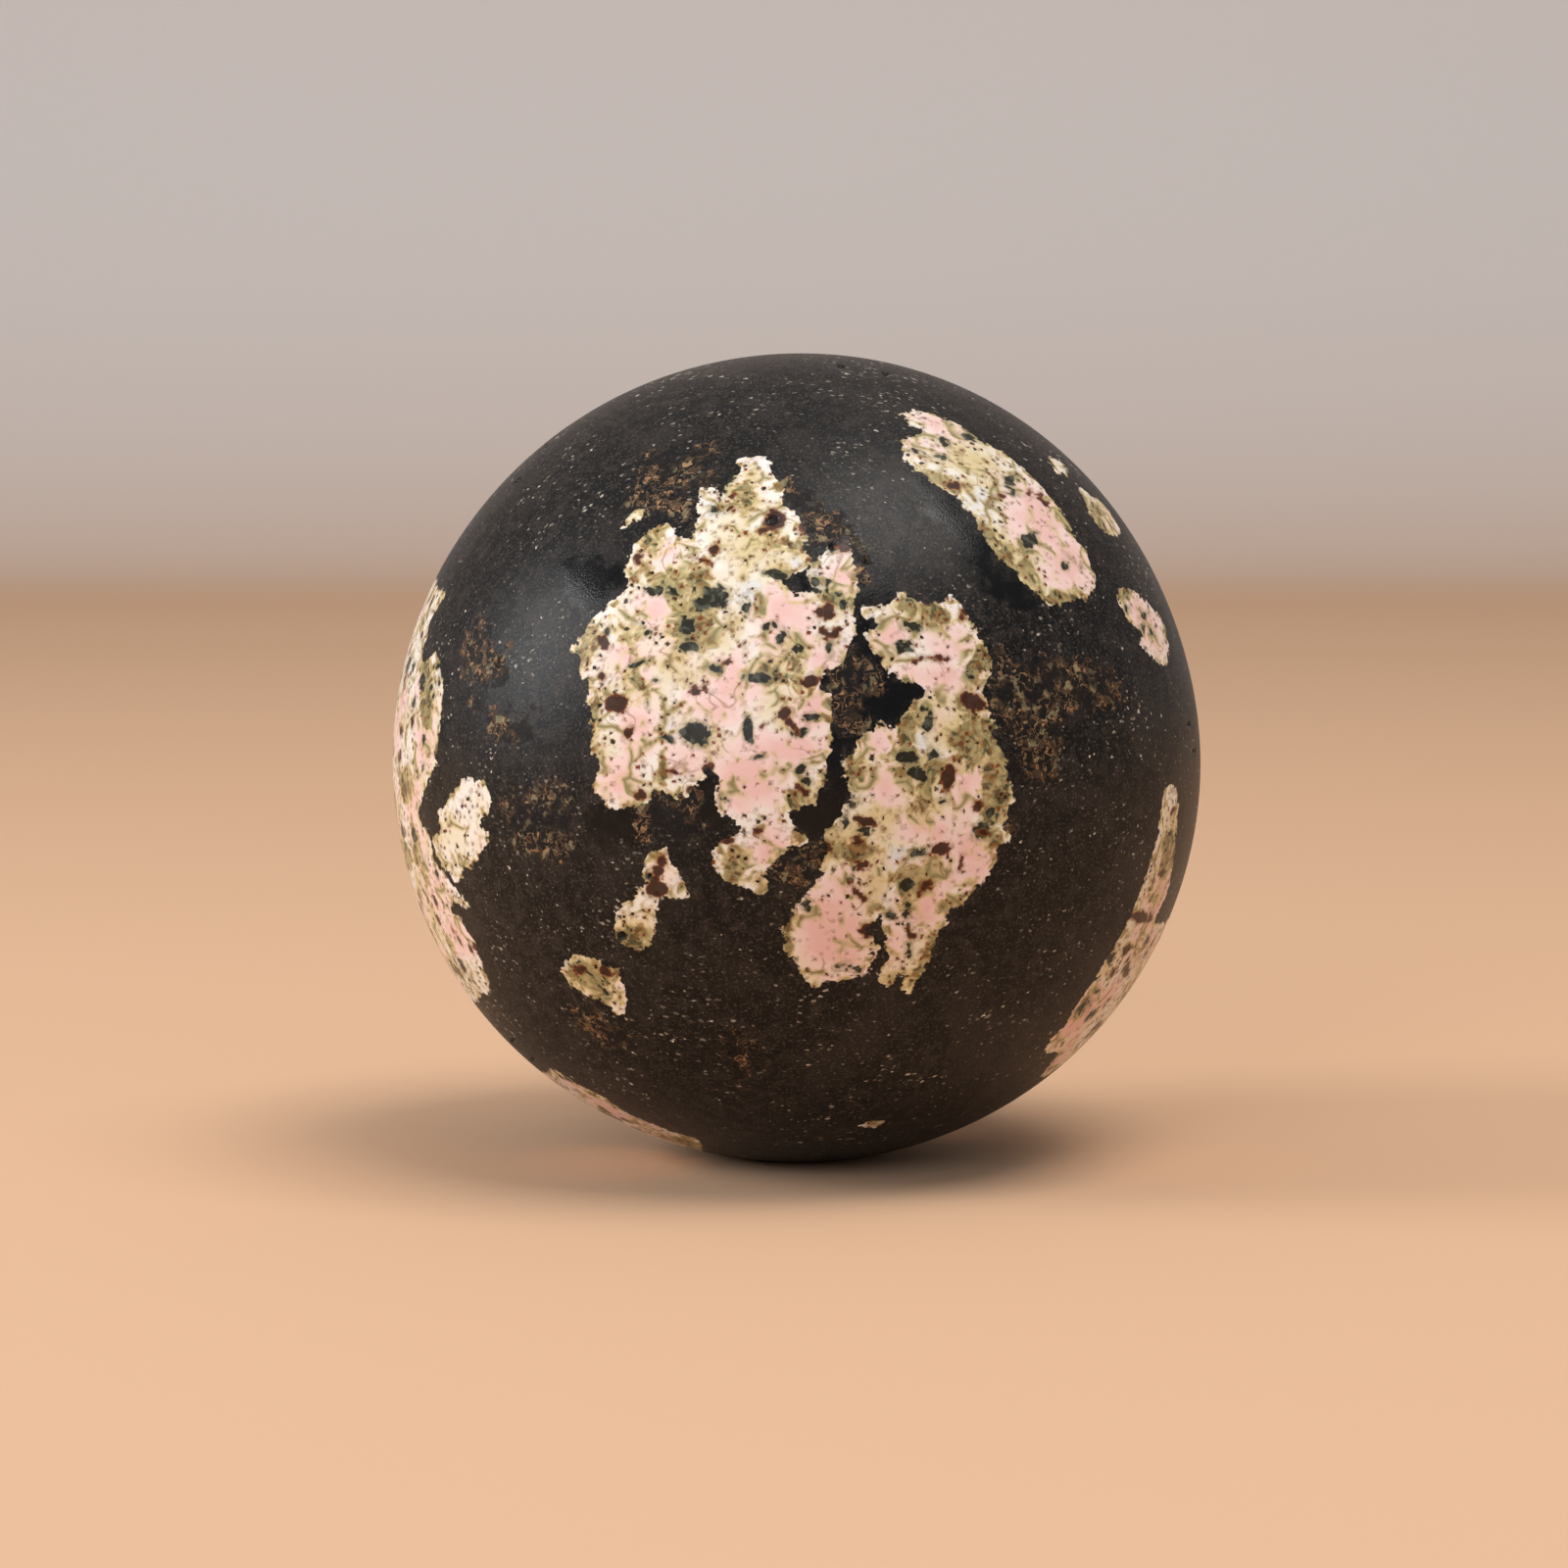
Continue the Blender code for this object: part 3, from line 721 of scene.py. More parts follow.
HIDDEN_PITS = (
    (RIGHT, spots_of((6.2, 18.6, 0.5, 0.3, 20), (20.4, 4.2, 0.6, 0.4), (9.4, -7.2, 0.5, 0.5), (23.2, -8, 0.3, 0.3))),
    (BACK, spots_of((11.2, 6.8, 0.7, 0.5, -30), (-9, -4.2, 0.5, 0.6), (14.6, 2.4, 0.3, 0.4), (-13.8, 15, 0.5, 0.4))),
    (LEFT, spots_of((-10.2, 13, 0.6, 0.4, 15), (-15.2, -3.6, 0.5, 0.5), (-4, 20.8, 0.4, 0.2, 40))),
    (TOP, spots_of((4.8, 8.8, 0.5, 0.4), (-3, 16.8, 0.4, 0.3, 50), (8.6, 4.8, 0.3, 0.2))),
)


def hidden_patches() -> tuple[Patch, ...]:
    """The patches that do not show from in front, each filled from its own seed."""
    kinds = ((Stain.PALE, HIDDEN_PALE), (Stain.GLASSY, HIDDEN_GLASSY), (Stain.VUGGY, HIDDEN_VUGGY))
    return tuple(
        Patch(stain, ((side, places),), seed=seed)
        for stain, outlines in kinds
        for seed, (side, places) in enumerate(outlines, start=21)
    )


def front_patches() -> tuple[Patch, ...]:
    """The patches whose edges show from in front, and those that go on round the side."""
    pale = (GREAT_PATCH, NEIGHBOUR_PATCH, LONG_PATCH, LEFT_LOBE) + SMALL_PATCHES_IN_FRONT
    return (
        tuple(Patch(Stain.PALE, ((FRONT, places),)) for places in pale)
        + tuple(Patch(Stain.GLASSY, ((FRONT, places),)) for places in GLASSY_IN_FRONT)
        + tuple(Patch(Stain.VUGGY, ((FRONT, places),)) for places in VUGGY_IN_FRONT)
        + (
            Patch(Stain.PALE, ((FRONT, LEFT_PATCH_FRONT), (LEFT, LEFT_PATCH_HIDDEN)), seed=3),
            Patch(Stain.PALE, ((FRONT, LOW_RIGHT_PATCH_FRONT), (RIGHT, LOW_RIGHT_PATCH_HIDDEN)), seed=5),
            Patch(Stain.PALE, ((FRONT, LOW_LEFT_PATCH_FRONT), (UNDER, LOW_LEFT_PATCH_HIDDEN)), seed=8),
        )
    )


@dataclass(frozen=True)
class Markings:
    """Every marking of the stone."""

    patches: tuple[Patch, ...]
    spots: tuple[tuple[Side, dict[Stain, tuple[Oval | Streak, ...]]], ...]

    def depths_at(self, directions: np.ndarray) -> Depths:
        """How far the points in these unit directions are inside every stain."""
        depths = Depths(directions)
        for patch in self.patches:
            patch.mark(depths)
        for side, stains in self.spots:
            places, near = side.seen(directions)
            points = np.flatnonzero(near)
            for stain, spots in stains.items():
                depths.mark(stain, places[points], points, spots)
        return depths


def all_markings() -> Markings:
    """What is seen in front and what is made up for the rest."""
    pits = tuple((side, {Stain.PIT: spots}) for side, spots in HIDDEN_PITS)
    return Markings(front_patches() + hidden_patches(), ((FRONT, SPOTS_IN_FRONT),) + pits)


def linear(shade: str) -> tuple[float, float, float, float]:
    """An sRGB hex colour as linear red, green and blue, with an alpha of one."""
    parts = [int(shade[start : start + 2], 16) / 255 for start in (1, 3, 5)]
    return tuple(part / 12.92 if part <= 0.04045 else ((part + 0.055) / 1.055) ** 2.4 for part in parts) + (1.0,)


Socket = bpy.types.NodeSocket
Feed = Socket | float | tuple[float, ...]


@dataclass
class Recipe:
    """A material whose nodes are added one at a time."""

    name: str
    material: bpy.types.Material = field(init=False)

    def __post_init__(self) -> None:
        """Makes the material with no nodes in it."""
        self.material = bpy.data.materials.new(self.name)
        self.material.use_nodes = True
        self.material.node_tree.nodes.clear()

    def add(
        self,
        kind: str,
        feeds: dict[str | int, Feed] | None = None,
        out: str | int = 0,
        **settings: object,
    ) -> Socket:
        """Adds a node with its settings and links.

        Args:
            kind: the node's type, without the words that all of them start with.
            feeds: for an input's name or number, the output to link it to or its value.
            out: the name or number of the output that is wanted.
            settings: the node's own properties.

        Returns:
            That output.
        """
        node = self.material.node_tree.nodes.new("ShaderNode" + kind)
        for setting, value in settings.items():
            setattr(node, setting, value)
        for socket, feed in (feeds or {}).items():
            if isinstance(feed, bpy.types.NodeSocket):
                self.material.node_tree.links.new(feed, node.inputs[socket])
            else:
                node.inputs[socket].default_value = feed
        return node.outputs[out] if node.outputs else None


@dataclass
class StoneRecipe(Recipe):
    """A recipe whose patterns are measured in millimetres of stone."""

    place: Socket = field(init=False)

    def __post_init__(self) -> None:
        """Starts with the place on the stone, in mm."""
        super().__post_init__()
        here = self.add("TexCoord", out="Object")
        self.place = self.add("VectorMath", {0: here, "Scale": 1 / MM}, operation="SCALE")

    def wound(self, size: float, reach: float) -> Socket:
        """The place moved to and fro, so that a pattern laid out on it winds.

        Args:
            size: how many mm across the windings are.
            reach: how many mm a noise of one moves it.

        Returns:
            The moved place.
        """
        cloud = self.add("TexNoise", {"Vector": self.place, "Scale": 1 / size, "Detail": 1.0}, out="Color")
        way = self.add("VectorMath", {0: cloud, 1: (0.5, 0.5, 0.5)}, operation="SUBTRACT")
        reaches = (reach, reach, reach)
        return self.add("VectorMath", {0: way, 1: reaches, 2: self.place}, operation="MULTIPLY_ADD")

    def drawn_out(self, place: Socket, turn: tuple[float, float, float], times: float) -> Socket:
        """A place squeezed one way, so that a pattern laid out on it is drawn out that way."""
        return self.add("Mapping", {"Vector": place, "Rotation": turn, "Scale": (1 / times, 1, 1)})

    def clouds(self, size: float, detail: float, place: Socket | None = None) -> tuple[Socket, ...]:
        """Three unlike noises, each from -0.5 to 0.5 and mostly near nought.

        Args:
            size: how many mm across their features are.
            detail: how many times they are broken up finer.
            place: where they are laid out, if not on the plain place.

        Returns:
            The three noises.
        """
        feeds = {"Vector": place or self.place, "Scale": 1 / size, "Detail": detail, "Roughness": 0.5}
        cloud = self.add("TexNoise", feeds, out="Color")
        centred = self.add("VectorMath", {0: cloud, 1: (0.5, 0.5, 0.5)}, operation="SUBTRACT")
        return tuple(self.add("SeparateXYZ", {0: centred}).node.outputs)

    def grains(self, size: float, place: Socket, form: str = "EUCLIDEAN") -> tuple[Socket, ...]:
        """Scattered grains with a middle each.

        Args:
            size: about how many mm apart their middles are.
            place: where they are laid out.
            form: how far off is reckoned, which makes them round or angular.

        Returns:
            The distance to the nearest middle, in mm, and three numbers of that grain's own.
        """
        cell = self.add("TexVoronoi", {"Vector": place, "Scale": 1 / size}, out="Distance", distance=form)
        own = self.add("SeparateXYZ", {0: cell.node.outputs["Color"]}).node.outputs
        return self.add("Math", {0: cell, 1: size}, operation="MULTIPLY"), *own

    def seams(self, size: float, place: Socket) -> Socket:
        """The distance in mm to the nearest seam between close-packed crystals of this size."""
        cell = self.add("TexVoronoi", {"Vector": place, "Scale": 1 / size}, feature="DISTANCE_TO_EDGE")
        return self.add("Math", {0: cell, 1: size}, operation="MULTIPLY")

    def line(self, cloud: Socket) -> Socket:
        """Nought along the winding lines where a noise crosses its middle, and more beside them."""
        return self.add("Math", {0: cloud}, operation="ABSOLUTE")

    def depth(self, stain: Stain, *swings: tuple[Socket, float]) -> Socket:
        """How many mm a point is inside a stain, whose edge noises make ragged.

        Args:
            stain: the stain.
            swings: noises, each with the mm that it moves the edge by at one.

        Returns:
            The depth.
        """
        depth = self.add("Attribute", out="Fac", attribute_name=stain.value)
        for cloud, swing in swings:
            depth = self.add("Math", {0: cloud, 1: swing, 2: depth}, operation="MULTIPLY_ADD")
        return depth

    def share(
        self, value: Socket, none: float, full: float, most: float = 1.0, within: Socket | None = None
    ) -> Socket:
        """How much of a colour shows, from nought to the most.

        Args:
            value: what decides it.
            none: the value from which none shows.
            full: the value from which the most shows.
            most: that most.
            within: another share, which this one is kept within.

        Returns:
            The share.
        """
        feeds = {"Value": value, 1: none, 2: full, 3: 0.0, 4: most}
        share = self.add("MapRange", feeds, interpolation_type="SMOOTHSTEP")
        if within is not None:
            share = self.add("Math", {0: share, 1: within}, operation="MULTIPLY")
        return share

    def lay(
        self,
        under: Feed | str,
        shade: Feed | str,
        value: Socket,
        none: float,
        full: float,
        most: float = 1.0,
        within: Socket | None = None,
    ) -> Socket:
        """Lays one colour over another where a value calls for it.

        Args:
            under: the colour below, as an output or in hex.
            shade: the colour laid over it.
            value: what decides where, as for share.
            none: the value from which none of it shows.
            full: the value from which the most shows.
            most: that most.
            within: another share, which this one is kept within.

        Returns:
            The colour that shows.
        """
        below, above = (linear(tone) if isinstance(tone, str) else tone for tone in (under, shade))
        share = self.share(value, none, full, most, within)
        return self.add("Mix", {0: share, 6: below, 7: above}, out=2, data_type="RGBA")


@dataclass(frozen=True)
class PinkRhodonite:
    """Rhodonite, cut across its crystals and polished.

    Its crystals have pink hearts that fade over half a millimetre to a milky white. Iron
    has stained the seams between them yellow and olive, and dark grains are strewn in it.
    """

    white: str = "#f1ece2"
    cream: str = "#ebe1c6"
    pink: str = "#f3d6cf"
    pink_deep: str = "#ecbdb5"
    ice: str = "#dde2e5"
    ochre: str = "#d9c48e"
    ochre_deep: str = "#8a6332"
    olive: str = "#938a5e"
    olive_deep: str = "#35341f"
    black_grain: str = "#121412"
    green_grain: str = "#484d45"
    maroon: str = "#351811"
    rust: str = "#75391f"

    def shade(self, recipe: StoneRecipe) -> Socket:
        """The colour of the rhodonite everywhere on the stone."""
        winding = recipe.wound(2.2, 2.0)
        mid = recipe.clouds(1.6, 1.5, winding)
        fine = recipe.clouds(0.55, 1.5, winding)
        pink = recipe.depth(Stain.PINK, (mid[0], 3.4))
        tint = self.hearts(recipe, pink, mid)
        tint = self.stained(recipe, tint, mid, fine)
        tint = self.seamed(recipe, tint, winding, mid)
        crystals = recipe.grains(0.44, recipe.wound(0.28, 0.30), "CHEBYCHEV")
        tint = self.speckled(recipe, tint, recipe.share(pink, 0.9, -0.6), mid, crystals)
        return self.grained(recipe, tint, mid, fine, crystals[0])

    def hearts(self, recipe: StoneRecipe, pink: Socket, mid: tuple[Socket, ...]) -> Socket:
        """Milky white, with yellow, bluish and pink areas that fade into it."""
        broad = recipe.clouds(4.0, 1.0)
        tint = recipe.lay(self.white, self.cream, broad[0], -0.08, 0.16)
        ochre = recipe.depth(Stain.OCHRE, (mid[1], 5.5))
        tint = recipe.lay(tint, self.ochre, ochre, -1.6, 1.6, 0.8)
        tint = recipe.lay(tint, self.ice, recipe.depth(Stain.ICE, (mid[2], 3.0)), -0.6, 0.6, 0.8)
        tint = recipe.lay(tint, self.pink, broad[1], 0.0, 0.2, 0.4)
        tint = recipe.lay(tint, self.pink, pink, -1.1, 0.3, 0.95)
        return recipe.lay(tint, self.pink_deep, pink, 0.1, 1.5, 0.75)

    def stained(
        self, recipe: StoneRecipe, tint: Socket, mid: tuple[Socket, ...], fine: tuple[Socket, ...]
    ) -> Socket:
        """Olive in its own areas and along parts of the patches' edges, mottled dark and yellow."""
        share, lay = recipe.share, recipe.lay
        olive = share(recipe.depth(Stain.OLIVE, (mid[1], 4.0), (fine[0], 2.0)), -0.9, 0.8)
        edge = recipe.depth(Stain.PALE, (mid[2], 3.0), (fine[1], 1.4))
        rim = share(edge, 0.8, 0.0, 0.8, share(mid[0], 0.0, 0.12))
        olive = recipe.add("Math", {0: olive, 1: rim}, operation="MAXIMUM")
        wisps = recipe.line(recipe.clouds(0.8, 1.5, recipe.wound(1.0, 1.4))[1])
        tint = lay(tint, self.ochre, olive, 0.0, 0.4, 0.8)
        tint = lay(tint, self.olive, olive, 0.3, 0.9, 0.85)
        tint = lay(tint, self.olive_deep, fine[1], -0.05, 0.10, 0.85, share(olive, 0.45, 0.95))
        tint = lay(tint, self.olive_deep, wisps, 0.045, 0.0, 0.35, share(olive, 0.5, 0.9))
        return lay(tint, self.ochre_deep, fine[2], 0.05, 0.14, 0.7, share(olive, 0.1, 0.5))

    def seamed(self, recipe: StoneRecipe, tint: Socket, winding: Socket, mid: tuple[Socket, ...]) -> Socket:
        """Yellow along the seams between crystals, and thin dark lines in some of them."""
        seam = recipe.seams(2.0, winding)
        tint = recipe.lay(tint, self.ochre, seam, 0.50, 0.0, 0.85, recipe.share(mid[2], -0.04, 0.10))
        dirty = recipe.share(mid[2], 0.03, 0.12)
        tint = recipe.lay(tint, self.olive, seam, 0.32, 0.0, 0.75, dirty)
        tint = recipe.lay(tint, self.olive_deep, seam, 0.12, 0.0, 0.35, dirty)
        vein = recipe.clouds(2.6, 1.0, winding)
        lined = recipe.share(vein[1], 0.04, 0.12)
        return recipe.lay(tint, self.ochre_deep, recipe.line(vein[0]), 0.022, 0.004, 0.5, lined)

    def speckled(
        self,
        recipe: StoneRecipe,
        tint: Socket,
        strewn: Socket,
        mid: tuple[Socket, ...],
        crystals: tuple[Socket, ...],
    ) -> Socket:
        """Strews small grains with a yellow stain round each.

        Args:
            recipe: the material's recipe.
            tint: the colour that they lie in.
            strewn: where they lie thick; the pink hearts are nearly free of them.
            mid: the noises that crowd them.
            crystals: the smallest grains.

        Returns:
            The colour.
        """
        crowd = recipe.add("Math", {0: strewn, 1: 0.35, 2: -0.25}, operation="MULTIPLY_ADD")
        crowd = recipe.add("Math", {0: mid[1], 1: 0.8, 2: crowd}, operation="MULTIPLY_ADD")
        larger = recipe.grains(0.90, recipe.wound(0.40, 0.40), "MANHATTAN")
        for (away, chosen, kind, fade), rare, widest, dark, light in (
            (crystals, 0.45, 0.12, self.black_grain, self.rust),
            (larger, 0.50, 0.24, self.olive_deep, self.maroon),
        ):
            chance = recipe.add("Math", {0: crowd, 1: chosen}, operation="ADD")
            radius = recipe.share(chance, rare - 0.1, 1.0, widest)
            inside = recipe.add("Math", {0: radius, 1: away}, operation="SUBTRACT")
            there = recipe.share(chance, rare, rare + 0.05)
            tint = recipe.lay(tint, self.ochre_deep, inside, -0.20, 0.0, 0.45, there)
            shade = recipe.lay(dark, light, kind, 0.4, 0.6)
            tint = recipe.lay(tint, shade, inside, -0.03, 0.03, 1.0, recipe.share(fade, -0.4, 0.5, 1.0, there))
        return tint

    def grained(
        self,
        recipe: StoneRecipe,
        tint: Socket,
        mid: tuple[Socket, ...],
        fine: tuple[Socket, ...],
        facets: Socket,
    ) -> Socket:
        """Adds the dark grains that are big enough to be placed one by one.

        Args:
            recipe: the material's recipe.
            tint: the colour that they lie in.
            mid: the noises that bend them.
            fine: the noises that mottle them.
            facets: the distance to the middles of the small crystals that they broke along.

        Returns:
            The colour.
        """
        lay = recipe.lay
        black = recipe.depth(Stain.BLACK, (mid[0], 0.8), (fine[2], 1.0), (facets, 0.7))
        tint = lay(tint, self.olive, black, -0.30, 0.20, 0.7)
        shade = lay(self.black_grain, self.green_grain, fine[0], 0.0, 0.16)
        tint = lay(tint, shade, black, 0.06, 0.22, 0.95)
        rust = recipe.depth(Stain.RUST, (mid[1], 0.7), (fine[1], 0.8), (facets, 0.7))
        tint = lay(tint, self.ochre_deep, rust, -0.20, 0.15, 0.5)
        shade = lay(self.rust, self.maroon, rust, 0.10, 0.30)
        return lay(tint, shade, rust, 0.06, 0.17, 0.95)


@dataclass(frozen=True)
class BlackOxide:
    """Manganese oxide, ground and polished: near black, with light crumbs caught in it.

    The crumbs are a tenth to a quarter of a millimetre, which just shows. The dense parts
    have none and take a better polish, with a cold, faintly blue look.
    """

    dark: str = "#080706"
    light: str = "#25201d"
    dense: str = "#0a0b0d"
    dust: str = "#4a433c"
    crumb: str = "#8d8272"
    crumb_bright: str = "#e0d6c6"
    ways: tuple[tuple[float, float, float], ...] = ((0.0, 0.4, 0.5), (0.3, 1.3, 0.2), (0.0, 0.8, 2.2))

    def shade(self, recipe: StoneRecipe, glassy: Socket) -> Socket:
        """Its colour everywhere.

        Args:
            recipe: the material's recipe.
            glassy: how dense it is.

        Returns:
            The colour.
        """
        broad = recipe.clouds(5.0, 2.0)
        mid = recipe.clouds(1.0, 4.0)
        fine = recipe.clouds(0.20, 1.5)
        grainy = recipe.share(glassy, 1.0, 0.1)
        uneven = recipe.wound(0.20, 0.30)
        tone = recipe.lay(self.dark, self.light, mid[0], -0.06, 0.18)
        tone = recipe.lay(tone, self.light, broad[1], 0.0, 0.16, 0.7)
        tone = recipe.lay(tone, self.dust, fine[0], 0.0, 0.22, 0.6, grainy)
        for turn in self.ways:
            away, chosen, kind, fade = recipe.grains(0.42, recipe.drawn_out(uneven, turn, 2.0))
            chance = recipe.add("Math", {0: broad[0], 1: 1.6, 2: chosen}, operation="MULTIPLY_ADD")
            radius = recipe.share(chance, 0.20, 1.5, 0.13)
            inside = recipe.add("Math", {0: radius, 1: away}, operation="SUBTRACT")
            there = recipe.share(chance, 0.4, 0.45, 1.0, grainy)
            shade = recipe.lay(self.crumb, self.crumb_bright, kind, 0.5, 1.0)
            tone = recipe.lay(tone, shade, inside, -0.03, 0.03, 0.95, recipe.share(fade, 0.0, 1.1, 1.0, there))
        return recipe.lay(tone, self.dense, glassy, 0.0, 1.0, 0.75)


@dataclass(frozen=True)
class SpongyOxide:
    """Oxide full of small hollows with brown iron-stained walls, polished level.

    The hollows are half a millimetre to one across, their middles painted near-black as the
    shade in them; some are filled with olive, and all are ringed by copper-brown walls a tenth
    of a millimetre thick.
    """

    dark: str = "#0d0706"
    maroon: str = "#38190f"
    filling: str = "#8a8363"
    brown: str = "#54402c"
    copper: str = "#a9825c"

    def shade(self, recipe: StoneRecipe, tone: Socket, vuggy: Socket) -> Socket:
        """Lays it over the plain oxide.

        Args:
            recipe: the material's recipe.
            tone: the plain oxide's colour.
            vuggy: where the sponge is.

        Returns:
            The colour.
        """
        share, lay = recipe.share, recipe.lay
        winding = recipe.wound(0.55, 0.9)
        crust = recipe.clouds(0.9, 2.0, winding)
        patchy = share(recipe.clouds(2.0, 2.0)[0], -0.12, 0.08, 1.0, vuggy)
        tone = lay(tone, self.dark, vuggy, 0.0, 1.0, 0.6)
        tone = lay(tone, self.brown, crust[0], 0.03, 0.12, 0.7, patchy)
        tone = lay(tone, self.filling, crust[1], 0.09, 0.16, 0.7, patchy)
        tone = lay(tone, self.copper, recipe.line(crust[2]), 0.022, 0.0, 0.75, patchy)
        for apart, widest in ((0.95, 0.48), (0.55, 0.26)):
            away, chosen, kind, fade = recipe.grains(apart, winding)
            radius = share(chosen, 0.0, 1.3, widest)
            inside = recipe.add("Math", {0: radius, 1: away}, operation="SUBTRACT")
            # Each hollow's middle is painted near-black, inside a maroon stain: painted shade in the open hollow.
            inner = lay(self.maroon, self.dark, inside, 0.10, 0.20)
            inner = lay(inner, self.filling, kind, 0.72, 0.76, 0.9)
            wall = lay(self.brown, self.copper, fade, 0.2, 1.0)
            ring = lay(wall, inner, inside, 0.05, 0.11)
            tone = lay(tone, ring, inside, -0.04, 0.02, 0.95, share(chosen, 0.45, 0.49, 1.0, patchy))
        return tone


@dataclass(frozen=True)
class PolishedRhodonite:
    """Pink rhodonite in black manganese oxide, ground on a wheel and polished by hand.

    A clean polish would mirror the room; the oxide is finely porous, so its highlights
    are soft and spread. Polished stone has an IOR of about 1.7, but the photograph's
    reflections are weaker, as of a slightly waxy surface.
    """

    pink: PinkRhodonite = PinkRhodonite()
    oxide: BlackOxide = BlackOxide()
    sponge: SpongyOxide = SpongyOxide()
    # the near-black painted into the pits: painted shade in the holes
    hole: str = "#080605"
    ior: float = 1.5
    gloss: float = 0.22  # the specular level
    oxide_roughness: float = 0.42
    dense_roughness: float = 0.17
    sponge_roughness: float = 0.60
    pink_roughness: float = 0.34

    def made(self) -> bpy.types.Material:
        """The finished material."""
        recipe = StoneRecipe("polished_rhodonite")
        add, depth, share = recipe.add, recipe.depth, recipe.share
        mid = recipe.clouds(1.1, 2.0, recipe.wound(2.0, 1.0))
        fine = recipe.clouds(0.36, 1.0)
        grain = recipe.clouds(0.16, 1.0)

        pale_depth = depth(Stain.PALE, (mid[0], 1.2), (fine[0], 0.7))
        pale = share(pale_depth, -0.06, 0.06)
        glassy = share(depth(Stain.GLASSY, (mid[1], 3.5), (fine[1], 0.8)), -0.9, 0.9)
        vuggy = share(depth(Stain.VUGGY, (mid[2], 4.0), (fine[2], 1.0)), -0.3, 0.4)
        oxide = self.oxide.shade(recipe, glassy)
        oxide = self.sponge.shade(recipe, oxide, vuggy)
        colour = recipe.lay(oxide, self.pink.shade(recipe), pale_depth, -0.06, 0.06)
        # The pits are painted near-black: painted shade in the holes.
        colour = recipe.lay(colour, self.hole, depth(Stain.PIT, (grain[0], 0.1)), -0.06, 0.08, 0.9)

        rough = add("Mix", {0: glassy, 2: self.oxide_roughness, 3: self.dense_roughness})
        rough = add("Mix", {0: vuggy, 2: rough, 3: self.sponge_roughness})
        rough = add("Mix", {0: pale, 2: rough, 3: self.pink_roughness})
        rough = add("Math", {0: grain[1], 1: 0.2, 2: rough}, operation="MULTIPLY_ADD")

        bump = add("Bump", {"Strength": 0.4, "Distance": 0.03 * MM, "Height": grain[2]})

        shader = add(
            "BsdfPrincipled",
            {
                "Base Color": colour,
                "Roughness": rough,
                "Metallic": 0.0,
                "IOR": self.ior,
                "Specular IOR Level": self.gloss,
                "Normal": bump,
            },
        )
        add("OutputMaterial", {"Surface": shader})
        return recipe.material


